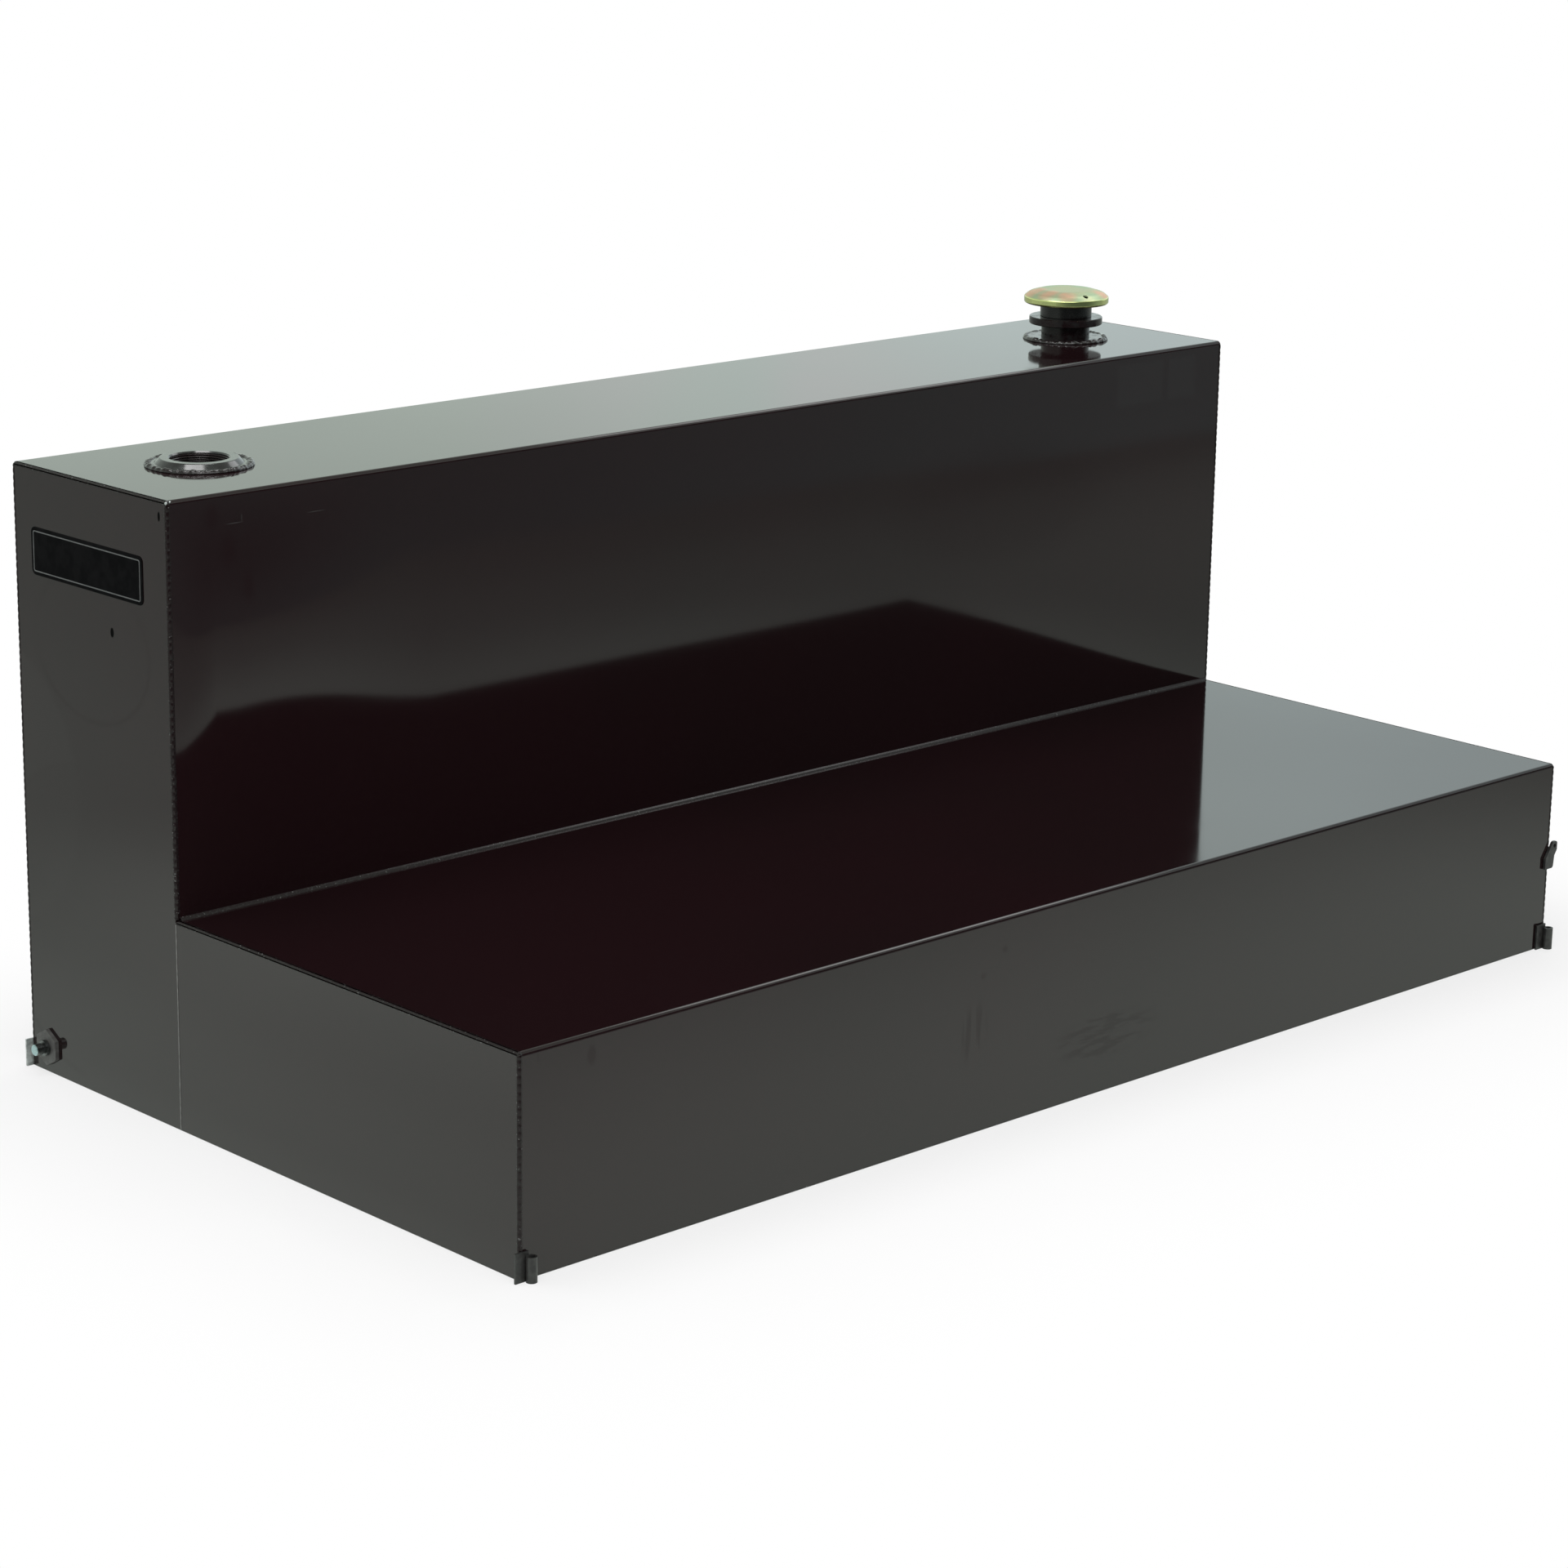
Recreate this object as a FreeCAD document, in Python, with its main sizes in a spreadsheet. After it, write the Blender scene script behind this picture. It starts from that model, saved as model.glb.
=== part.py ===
import FreeCAD, Part
import math
import os
import Sketcher

# Truck bed transfer tank: an L-shaped welded sheet steel fuel tank with a tall rear
# section and a low deck in front, a vented filler cap, a pump bung, a drain and
# four tie-down clips. Millimetres. X runs along the tank, Y from the deck side to
# the back, Z up. The origin is the centre of the footprint on the floor.

os.makedirs("parts", exist_ok=True)
doc = FreeCAD.newDocument("transfer_tank")
sizes = doc.addObject("Spreadsheet::Sheet", "sizes")

# Driving dimensions
SIZES = {
    "length": 1473,  # end to end
    "depth": 756,  # front of the low deck to the back wall
    "height": 612,  # floor to the top of the tall section
    "deck_height": 210,  # floor to the top of the low deck
    "tall_depth": 254,  # front to back of the tall section
    "sheet": 1.9,  # 14 gauge steel
    "fold_radius": 4,  # outside radius of every fold
    "bead_lap": 2,  # how far an edge bead laps on to each sheet
    "bead_crown": 0.4,  # distance of an edge bead's crown from the sharp corner
    "bead_foot": 0.8,  # deck to the lower end of the bead on the tall front corner
    "seam_gap": 1.5,  # gap between the two sheets of an end, filled by the seam bead
    "seam_crown": 0.3,  # how far the seam bead stands proud
    "fillet_leg": 3,  # leg of the bead along the foot of the tall front wall
    "baffle_pitch": 491,  # distance between the two baffles
    "baffle_hole": 76,  # passage holes in the baffles
    "baffle_snip": 25,  # corners cut off the baffles, for flow and drainage
    "sheet_fit": 0.25,  # radial gap between a fitting and its hole in the sheet
    "bung_from_end": 128,  # left end to the middle of the pump bung
    "bung_bore": 57,  # tapped hole of the 2 inch pipe thread
    "bung_spigot": 68,  # part of the bung that passes through the sheet
    "bung_collar": 76,  # raised rim round the thread
    "bung_flange": 98,  # flange that lies on the sheet
    "bung_flange_thick": 2.5,
    "bung_rise": 7.5,  # sheet to the top of the rim
    "bung_slope": 5,  # width of the slope from the rim down to the flange
    "bung_round": 1.8,  # outside radius of the rim
    "bung_cut": 1.4,  # chamfer of the thread's mouth
    "bung_reach": 18,  # sheet to the lower end of the spigot
    "ring_bead_leg": 4,  # leg of the beads round the two fittings
    "filler_from_end": 128,  # right end to the middle of the filler neck
    "neck_outside": 55.5,
    "neck_wall": 3,
    "neck_flange": 90,
    "neck_flange_thick": 3,
    "neck_reach": 15,  # sheet to the lower end of the neck
    "neck_collar": 84,  # stop ring that the cap screws down to
    "collar_base": 17.8,  # sheet to the underside of the stop ring
    "collar_thick": 8.5,
    "collar_cut": 0.8,  # chamfers of the stop ring
    "mouth_outside": 48,  # threaded mouth above the stop ring
    "neck_rise": 37,  # sheet to the rim of the mouth
    "gasket_thick": 2.4,
    "hub_outside": 59,
    "hub_ceiling": 16.4,
    "hub_gap": 0.4,  # running gap between the hub and the neck
    "vent_recess": 9,  # depth of the chamber between the hub and the disc
    "vent_notch": 10,  # width of the notch in the wall of that chamber
    "vent_port": 8,  # hole through the middle of the hub
    "disc_outside": 97,
    "disc_sheet": 1.6,
    "disc_rise": 8.2,  # how far the top of the disc stands above its rim
    "disc_rim": 7.7,  # height of the rim
    "disc_rim_round": 2,
    "disc_shoulder": 5.5,  # width of the steep shoulder beside the rim
    "disc_bend": 3.6,  # depth of the bend between the dome and the shoulder
    "disc_bend_round": 12,
    "disc_hem": 4,  # width and height of the hem at the foot of the rim
    "disc_hem_round": 2.4,
    "disc_flat": 60,  # flat middle of the dome
    "disc_flat_round": 20,
    "vent_hole": 6,
    "vent_hole_inset": 6.7,  # outside of the rim to the middle of the vent hole
    "vent_hole_angle": -106,
    "cage_outside": 30,
    "cage_flange": 38,
    "cage_wall": 1.2,
    "cage_depth": 14,
    "seat_hole": 10,
    "valve_outside": 22,
    "valve_thick": 2.5,
    "spring_outside": 17,
    "spring_wire": 1.2,
    "spring_turns": 4,
    "drain_from_back": 30,  # back wall to the middle of the drain
    "drain_height": 27,
    "drain_hex": 38,  # across the corners
    "drain_hex_thick": 4,
    "drain_bore": 15.4,
    "plug_shank": 15.2,
    "plug_head": 16,
    "plug_head_thick": 4,
    "plug_neck": 9.5,
    "plug_neck_thick": 2,
    "plug_end": 11.5,
    "plug_end_thick": 8,
    "plug_cut": 1,  # chamfer of the plug's outer end
    "bead_clear": 0.6,  # clips and tab stand off the tank by the height of an edge bead
    "clip_strap": 2,
    "clip_height": 28,
    "clip_plate": 15,  # plate edge to the middle of the eye
    "eye_outside": 10.4,
    "eye_hole": 6.6,
    "eye_height": 24,
    "eye_stand": 6.5,  # tank face to the middle of the eye
    "left_eye_inset": 8.4,  # left end to the middle of the left eyes
    "right_eye_inset": 1,  # right end to the middle of the right eyes
    "tab_thick": 3,
    "tab_height": 91.5,  # floor to the lower edge of the ground tab
    "tab_rise": 30,  # height of the tab
    "tab_lap": 10,  # how far the tab reaches on to the tank
    "tab_lap_rise": 12,  # height of its inner side
    "tab_shoulder": 2,  # tank corner to the inner end of the top edge
    "tab_foot": 4,  # how far the lower edge passes the tank corner
    "tab_waist": 5.5,  # how far the outer side passes the corner below the ear
    "tab_waist_rise": 14,
    "tab_ear": 9.5,  # how far the ear passes the corner
    "tab_ear_rise": 20,  # lower edge of the tab to the straight side of the ear
    "tab_round": 3,  # corner radius
    "tab_hole": 4.5,
    "tab_hole_edge": 5,  # top edge to the middle of the hole
    "tab_hole_out": 5,  # tank corner to the middle of the hole
}
for row, (name, number) in enumerate(SIZES.items(), start=1):
    sizes.set(f"A{row}", str(number))
    sizes.setAlias(f"A{row}", name)
doc.recompute()


def size(name):
    return float(sizes.get(name))


# Places that several pieces share, as expressions on the sheet
LEFT = "-sizes.length / 2"
RIGHT = "sizes.length / 2"
FRONT = "-sizes.depth / 2"
BACK = "sizes.depth / 2"
STEP = "(sizes.depth / 2 - sizes.tall_depth)"
TALL_MIDDLE = "(sizes.depth / 2 - sizes.tall_depth / 2)"
TOP = "sizes.height"
DECK = "sizes.deck_height"
BUNG_X = "-sizes.length / 2 + sizes.bung_from_end"
FILLER_X = "sizes.length / 2 - sizes.filler_from_end"
DRAIN_Y = "sizes.depth / 2 - sizes.drain_from_back"
INNER_FOLD = "sizes.fold_radius - sizes.sheet"
CEILING = "(sizes.neck_rise + sizes.gasket_thick)"
HUB_TOP = "(sizes.neck_rise + sizes.gasket_thick + sizes.hub_ceiling)"
CREST = f"({HUB_TOP} + sizes.disc_sheet)"

# Directions for edges_at
ALONG_X, ALONG_Y = 0, 1

# A fillet bead bulges: its middle stands at this share of its leg
BULGE = 0.6

tank = []


# Building helpers
def new_body(label):
    body = doc.addObject("PartDesign::Body", label)
    body.Label = label
    tank.append(body)
    return body


def place(piece, x_place="0", y_place="0", z_place="0"):
    piece.setExpression("Placement.Base.x", x_place)
    piece.setExpression("Placement.Base.y", y_place)
    piece.setExpression("Placement.Base.z", z_place)


def new_sketch(body, name, plane, offset="0"):
    sketch = body.newObject("Sketcher::SketchObject", name)
    support = [feature for feature in body.Origin.OriginFeatures if feature.Role == plane]
    sketch.AttachmentSupport = [(support[0], "")]
    sketch.MapMode = "FlatFace"
    sketch.setExpression("AttachmentOffset.Base.z", offset)
    return sketch


def pin_point(sketch, geometry, position, across, upward):
    """Ties one point of a sketch to two expressions measured from the origin."""
    point = sketch.Geometry[geometry]
    spot = point.StartPoint if position == 1 else point.Center
    for kind, number, expression in (("DistanceX", spot.x, across), ("DistanceY", spot.y, upward)):
        constraint = Sketcher.Constraint(kind, -1, 1, geometry, position, number)
        index = sketch.addConstraint(constraint)
        sketch.setExpression(f"Constraints[{index}]", expression)


def add_polygon(sketch, corners):
    """Closed straight outline: each corner is a pair of expressions."""
    start_radius = 100
    count = len(corners)
    turn = [2 * math.pi * index / count for index in range(count)]
    points = [FreeCAD.Vector(math.cos(a) * start_radius, math.sin(a) * start_radius, 0) for a in turn]
    first = sketch.GeometryCount
    for index in range(count):
        sketch.addGeometry(Part.LineSegment(points[index], points[(index + 1) % count]), False)
    for index in range(count):
        following = first + (index + 1) % count
        sketch.addConstraint(Sketcher.Constraint("Coincident", first + index, 2, following, 1))
    for index, (across, upward) in enumerate(corners):
        pin_point(sketch, first + index, 1, across, upward)


def add_circle(sketch, across, upward, diameter):
    start_radius = 10
    circle = Part.Circle(FreeCAD.Vector(0, 0, 0), FreeCAD.Vector(0, 0, 1), start_radius)
    geometry = sketch.addGeometry(circle, False)
    pin_point(sketch, geometry, 3, across, upward)
    index = sketch.addConstraint(Sketcher.Constraint("Diameter", geometry, 2 * start_radius))
    sketch.setExpression(f"Constraints[{index}]", diameter)


def pad(body, name, sketch, length, both_ways=False):
    feature = body.newObject("PartDesign::Pad", name)
    feature.Profile = sketch
    feature.setExpression("Length", length)
    feature.Midplane = both_ways
    sketch.Visibility = False
    return feature


def pocket(body, name, sketch, depth, both_ways=False):
    feature = body.newObject("PartDesign::Pocket", name)
    feature.Profile = sketch
    feature.setExpression("Length", depth)
    feature.Midplane = both_ways
    doc.recompute()
    assert feature.Shape.Volume < feature.BaseFeature.Shape.Volume, f"{body.Label} {name} cuts nothing"
    return feature


def revolve(body, name, corners):
    """Full turn about Z of an outline given as radius and height."""
    sketch = new_sketch(body, f"{name}_outline", "XZ_Plane")
    add_polygon(sketch, corners)
    feature = body.newObject("PartDesign::Revolution", name)
    feature.Profile = sketch
    feature.ReferenceAxis = (sketch, ["V_Axis"])
    feature.Angle = 360
    return feature


def edges_at(feature, across, upward, axis):
    """Names of the straight edges along an axis that pass through one point of the section."""
    doc.recompute()
    names = []
    for index, edge in enumerate(feature.Shape.Edges, start=1):
        start, end = edge.Vertexes[0].Point, edge.Vertexes[-1].Point
        others = [number for number in range(3) if number != axis]
        on_line = all(
            abs(point[number] - wanted) < 0.01
            for point in (start, end)
            for number, wanted in zip(others, (across, upward))
        )
        if on_line and abs(start[axis] - end[axis]) > 0.01:
            names.append(f"Edge{index}")
    assert names, f"no edge at {across}, {upward}"
    return names


def circles_at(feature, radius, height):
    """Names of the round edges of a given radius at a given height."""
    doc.recompute()
    names = []
    for index, edge in enumerate(feature.Shape.Edges, start=1):
        if not isinstance(edge.Curve, Part.Circle):
            continue
        if abs(edge.Curve.Radius - radius) < 0.01 and abs(edge.Curve.Center.z - height) < 0.01:
            names.append(f"Edge{index}")
    assert names, f"no round edge of radius {radius} at {height}"
    return names


def dress(body, kind, name, base, edges, amount):
    """Fillet or Chamfer on named edges of the last feature."""
    feature = body.newObject(f"PartDesign::{kind}", name)
    feature.Base = (base, edges)
    feature.setExpression("Radius" if kind == "Fillet" else "Size", amount)
    return feature


# Folded and flat sheets
def tall_wrapper():
    """Front wall, top and back wall of the tall section, folded from one sheet."""
    body = new_body("tall_wrapper")
    outline = new_sketch(body, "tall_section", "YZ_Plane")
    add_polygon(outline, [
        (BACK, "sizes.sheet"),
        (BACK, TOP),
        (STEP, TOP),
        (STEP, DECK),
        (f"{STEP} + sizes.sheet", DECK),
        (f"{STEP} + sizes.sheet", f"{TOP} - sizes.sheet"),
        (f"{BACK} - sizes.sheet", f"{TOP} - sizes.sheet"),
        (f"{BACK} - sizes.sheet", "sizes.sheet"),
    ])
    walls = pad(body, "tall_walls", outline, "sizes.length - 2 * sizes.sheet", both_ways=True)
    back, top, sheet = size("depth") / 2, size("height"), size("sheet")
    step = back - size("tall_depth")
    outer = edges_at(walls, back, top, ALONG_X) + edges_at(walls, step, top, ALONG_X)
    outer_fold = dress(body, "Fillet", "tall_outer_folds", walls, outer, "sizes.fold_radius")
    inner = edges_at(outer_fold, back - sheet, top - sheet, ALONG_X)
    inner += edges_at(outer_fold, step + sheet, top - sheet, ALONG_X)
    dress(body, "Fillet", "tall_inner_folds", outer_fold, inner, INNER_FOLD)
    holes = new_sketch(body, "fitting_holes", "XY_Plane", TOP)
    add_circle(holes, BUNG_X, TALL_MIDDLE, "sizes.bung_spigot + 2 * sizes.sheet_fit")
    add_circle(holes, FILLER_X, TALL_MIDDLE, "sizes.neck_outside + 2 * sizes.sheet_fit")
    pocket(body, "fitting_cut", holes, "2 * sizes.sheet")


def low_wrapper():
    """Deck and front wall of the low section, folded from one sheet."""
    body = new_body("low_wrapper")
    outline = new_sketch(body, "low_section", "YZ_Plane")
    add_polygon(outline, [
        (FRONT, "sizes.sheet"),
        (FRONT, DECK),
        (f"{STEP} + sizes.sheet", DECK),
        (f"{STEP} + sizes.sheet", f"{DECK} - sizes.sheet"),
        (f"{FRONT} + sizes.sheet", f"{DECK} - sizes.sheet"),
        (f"{FRONT} + sizes.sheet", "sizes.sheet"),
    ])
    walls = pad(body, "low_walls", outline, "sizes.length - 2 * sizes.sheet", both_ways=True)
    front, deck, sheet = -size("depth") / 2, size("deck_height"), size("sheet")
    outer = edges_at(walls, front, deck, ALONG_X)
    outer_fold = dress(body, "Fillet", "low_outer_fold", walls, outer, "sizes.fold_radius")
    inner = edges_at(outer_fold, front + sheet, deck - sheet, ALONG_X)
    dress(body, "Fillet", "low_inner_fold", outer_fold, inner, INNER_FOLD)


def floor_sheet():
    """Flat floor, one sheet in from every wall's outer face."""
    floor = doc.addObject("Part::Box", "floor_sheet")
    floor.Label = "floor_sheet"
    floor.setExpression("Length", "sizes.length - 2 * sizes.sheet")
    floor.setExpression("Width", "sizes.depth - 2 * sizes.sheet")
    floor.setExpression("Height", "sizes.sheet")
    place(floor, f"{LEFT} + sizes.sheet", f"{FRONT} + sizes.sheet")
    tank.append(floor)


def end_plate(label, outer_face, corners, fold_corners):
    """Flat end sheet, its upper corners rounded to follow the folds."""
    body = new_body(label)
    outline = new_sketch(body, f"{label}_outline", "YZ_Plane", outer_face)
    add_polygon(outline, corners)
    plate = pad(body, f"{label}_plate", outline, "sizes.sheet")
    edges = []
    for across, upward in fold_corners:
        edges += edges_at(plate, across, upward, ALONG_X)
    dress(body, "Fillet", f"{label}_corners", plate, edges, INNER_FOLD)
    return body


def end_plates():
    """Each end is two flat sheets that meet at a seam under the tall front wall."""
    back, front, sheet = size("depth") / 2, -size("depth") / 2, size("sheet")
    step = back - size("tall_depth")
    tall_corners = [
        (f"{STEP} + sizes.sheet", "sizes.sheet"),
        (f"{BACK} - sizes.sheet", "sizes.sheet"),
        (f"{BACK} - sizes.sheet", f"{TOP} - sizes.sheet"),
        (f"{STEP} + sizes.sheet", f"{TOP} - sizes.sheet"),
    ]
    low_corners = [
        (f"{FRONT} + sizes.sheet", "sizes.sheet"),
        (f"{STEP} + sizes.sheet - sizes.seam_gap", "sizes.sheet"),
        (f"{STEP} + sizes.sheet - sizes.seam_gap", f"{DECK} - sizes.sheet"),
        (f"{FRONT} + sizes.sheet", f"{DECK} - sizes.sheet"),
    ]
    tall_folds = [(place_y, size("height") - sheet) for place_y in (back - sheet, step + sheet)]
    low_folds = [(front + sheet, size("deck_height") - sheet)]
    left_tall = end_plate("left_end_tall", LEFT, tall_corners, tall_folds)
    end_plate("left_end_low", LEFT, low_corners, low_folds)
    end_plate("right_end_tall", f"{RIGHT} - sizes.sheet", tall_corners, tall_folds)
    end_plate("right_end_low", f"{RIGHT} - sizes.sheet", low_corners, low_folds)
    drain = new_sketch(left_tall, "drain_place", "YZ_Plane", f"{LEFT} + sizes.sheet")
    add_circle(drain, DRAIN_Y, "sizes.drain_height", "sizes.drain_bore")
    pocket(left_tall, "drain_cut", drain, "2 * sizes.sheet")


def baffle(label, middle):
    """L-shaped surge plate with snipped corners and passage holes."""
    body = new_body(label)
    outline = new_sketch(body, f"{label}_outline", "YZ_Plane", middle)
    add_polygon(outline, [
        (f"{FRONT} + sizes.sheet", "sizes.sheet"),
        (f"{BACK} - sizes.sheet", "sizes.sheet"),
        (f"{BACK} - sizes.sheet", f"{TOP} - sizes.sheet"),
        (f"{STEP} + sizes.sheet", f"{TOP} - sizes.sheet"),
        (f"{STEP} + sizes.sheet", f"{DECK} - sizes.sheet"),
        (f"{FRONT} + sizes.sheet", f"{DECK} - sizes.sheet"),
    ])
    plate = pad(body, f"{label}_plate", outline, "sizes.sheet", both_ways=True)
    back, front, sheet = size("depth") / 2, -size("depth") / 2, size("sheet")
    top, deck = size("height"), size("deck_height")
    step = back - size("tall_depth")
    corners = [
        (front + sheet, sheet), (back - sheet, sheet), (back - sheet, top - sheet),
        (step + sheet, top - sheet), (front + sheet, deck - sheet),
    ]
    edges = []
    for across, upward in corners:
        edges += edges_at(plate, across, upward, ALONG_X)
    dress(body, "Chamfer", f"{label}_snips", plate, edges, "sizes.baffle_snip")
    holes = new_sketch(body, f"{label}_holes", "YZ_Plane", middle)
    add_circle(holes, TALL_MIDDLE, f"{DECK} / 2", "sizes.baffle_hole")
    for quarters in (1, 3):
        upward = f"{DECK} + ({TOP} - {DECK}) * {quarters} / 4"
        across = f"{FRONT} + (sizes.depth - sizes.tall_depth) * {quarters} / 4"
        add_circle(holes, TALL_MIDDLE, upward, "sizes.baffle_hole")
        add_circle(holes, across, f"{DECK} / 2", "sizes.baffle_hole")
    pocket(body, f"{label}_cut", holes, "4 * sizes.sheet", both_ways=True)


# Weld beads
def add_shape(label, shape):
    """A piece whose shape is made by a sweep that reads the sheet."""
    feature = doc.addObject("Part::Feature", label)
    feature.Label = label
    feature.Shape = shape
    tank.append(feature)
    return feature


def bead_section(x_outer, y_outer, x_inward, y_inward):
    """Cross-section of an edge bead at the floor: it fills the open corner between
    two sheets and laps on to both with a rounded crown."""
    sheet, lap, crown = size("sheet"), size("bead_lap"), size("bead_crown")

    def spot(across, inward):
        return FreeCAD.Vector(x_outer + x_inward * across, y_outer + y_inward * inward, sheet)

    reach = sheet + lap
    crown_arc = Part.Arc(spot(reach, 0), spot(crown, crown), spot(0, reach)).toShape()
    edges = [
        Part.makeLine(spot(sheet, sheet), spot(sheet, 0)),
        Part.makeLine(spot(sheet, 0), spot(reach, 0)),
        crown_arc,
        Part.makeLine(spot(0, reach), spot(0, sheet)),
        Part.makeLine(spot(0, sheet), spot(sheet, sheet)),
    ]
    return Part.Wire(edges)


def fold_arc(centre_y, centre_z, from_y, from_z, to_y, to_z, x_place):
    """Quarter turn of a bead's path round a fold."""
    radius = size("fold_radius")
    half = math.sqrt(0.5) * radius
    middle_y = centre_y + half * (from_y + to_y)
    middle_z = centre_z + half * (from_z + to_z)
    start = FreeCAD.Vector(x_place, centre_y + radius * from_y, centre_z + radius * from_z)
    end = FreeCAD.Vector(x_place, centre_y + radius * to_y, centre_z + radius * to_z)
    return Part.Arc(start, FreeCAD.Vector(x_place, middle_y, middle_z), end).toShape()


def tall_bead(label, side):
    """Bead up the back, over the top and down the tall front wall of one end."""
    x_place = side * size("length") / 2
    back, top, radius = size("depth") / 2, size("height"), size("fold_radius")
    step = back - size("tall_depth")
    foot = size("deck_height") + size("bead_foot")

    def spot(across, upward):
        return FreeCAD.Vector(x_place, across, upward)

    path = Part.Wire([
        Part.makeLine(spot(back, size("sheet")), spot(back, top - radius)),
        fold_arc(back - radius, top - radius, 1, 0, 0, 1, x_place),
        Part.makeLine(spot(back - radius, top), spot(step + radius, top)),
        fold_arc(step + radius, top - radius, 0, 1, -1, 0, x_place),
        Part.makeLine(spot(step, top - radius), spot(step, foot)),
    ])
    section = bead_section(x_place, back, -side, -1)
    add_shape(label, path.makePipeShell([section], True, False))


def low_bead(label, side):
    """Bead up the low front corner and back along the deck edge of one end."""
    x_place = side * size("length") / 2
    front, deck, radius = -size("depth") / 2, size("deck_height"), size("fold_radius")
    step = size("depth") / 2 - size("tall_depth")

    def spot(across, upward):
        return FreeCAD.Vector(x_place, across, upward)

    path = Part.Wire([
        Part.makeLine(spot(front, size("sheet")), spot(front, deck - radius)),
        fold_arc(front + radius, deck - radius, -1, 0, 0, 1, x_place),
        Part.makeLine(spot(front + radius, deck), spot(step + size("sheet"), deck)),
    ])
    section = bead_section(x_place, front, -side, 1)
    add_shape(label, path.makePipeShell([section], True, False))


def seam_bead(label, outer_face):
    """Flush bead between the two sheets of one end."""
    body = new_body(label)
    outline = new_sketch(body, f"{label}_outline", "YZ_Plane", outer_face)
    add_polygon(outline, [
        (f"{STEP} + sizes.sheet - sizes.seam_gap", "sizes.sheet"),
        (f"{STEP} + sizes.sheet", "sizes.sheet"),
        (f"{STEP} + sizes.sheet", f"{DECK} - sizes.sheet - sizes.bead_lap"),
        (f"{STEP} + sizes.sheet - sizes.seam_gap", f"{DECK} - sizes.sheet - sizes.bead_lap"),
    ])
    pad(body, f"{label}_bar", outline, "sizes.sheet + sizes.seam_crown")


def floor_bead():
    """Bead round the whole floor, in the open corner under the walls."""
    body = new_body("weld_floor")
    outline = new_sketch(body, "floor_bead_outline", "XY_Plane")
    for inset in ("0", "sizes.sheet"):
        add_polygon(outline, [
            (f"{LEFT} + {inset}", f"{FRONT} + {inset}"),
            (f"{RIGHT} - {inset}", f"{FRONT} + {inset}"),
            (f"{RIGHT} - {inset}", f"{BACK} - {inset}"),
            (f"{LEFT} + {inset}", f"{BACK} - {inset}"),
        ])
    frame = pad(body, "floor_bead_frame", outline, "sizes.sheet")
    end, side = size("length") / 2, size("depth") / 2
    edges = edges_at(frame, -side, 0, ALONG_X) + edges_at(frame, side, 0, ALONG_X)
    edges += edges_at(frame, -end, 0, ALONG_Y) + edges_at(frame, end, 0, ALONG_Y)
    dress(body, "Chamfer", "floor_bead_round", frame, edges, "sizes.sheet / 2")


def deck_bead():
    """Fillet bead along the foot of the tall front wall."""
    body = new_body("weld_deck")
    outline = new_sketch(body, "deck_bead_outline", "YZ_Plane")
    add_polygon(outline, [
        (STEP, DECK),
        (STEP, f"{DECK} + sizes.fillet_leg"),
        (f"{STEP} - sizes.fillet_leg * {BULGE}", f"{DECK} + sizes.fillet_leg * {BULGE}"),
        (f"{STEP} - sizes.fillet_leg", DECK),
    ])
    run = "sizes.length - 2 * (sizes.sheet + sizes.bead_lap)"
    pad(body, "deck_bead_run", outline, run, both_ways=True)


def ring_bead(label, flange_radius, x_place):
    """Fillet bead on the sheet round a fitting's flange."""
    body = new_body(label)
    revolve(body, f"{label}_ring", [
        (flange_radius, "0"),
        (f"{flange_radius} + sizes.ring_bead_leg", "0"),
        (f"{flange_radius} + sizes.ring_bead_leg * {BULGE}", f"sizes.ring_bead_leg * {BULGE}"),
        (flange_radius, f"sizes.ring_bead_leg * {BULGE}"),
    ])
    place(body, x_place, TALL_MIDDLE, TOP)


# Fittings on the top
def pump_bung():
    """Flanged pipe bung that a transfer pump screws into."""
    body = new_body("pump_bung")
    bore, spigot = "sizes.bung_bore / 2", "sizes.bung_spigot / 2"
    collar, flange = "sizes.bung_collar / 2", "sizes.bung_flange / 2"
    turned = revolve(body, "bung_turned", [
        (bore, "-sizes.bung_reach"),
        (spigot, "-sizes.bung_reach"),
        (spigot, "0"),
        (flange, "0"),
        (flange, "sizes.bung_flange_thick"),
        (f"{collar} + sizes.bung_slope", "sizes.bung_flange_thick"),
        (collar, "sizes.bung_rise"),
        (bore, "sizes.bung_rise"),
    ])
    rims = circles_at(turned, size("bung_collar") / 2, size("bung_rise"))
    rounded = dress(body, "Fillet", "bung_rim", turned, rims, "sizes.bung_round")
    mouth = circles_at(rounded, size("bung_bore") / 2, size("bung_rise"))
    dress(body, "Chamfer", "bung_mouth", rounded, mouth, "sizes.bung_cut")
    place(body, BUNG_X, TALL_MIDDLE, TOP)


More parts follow.
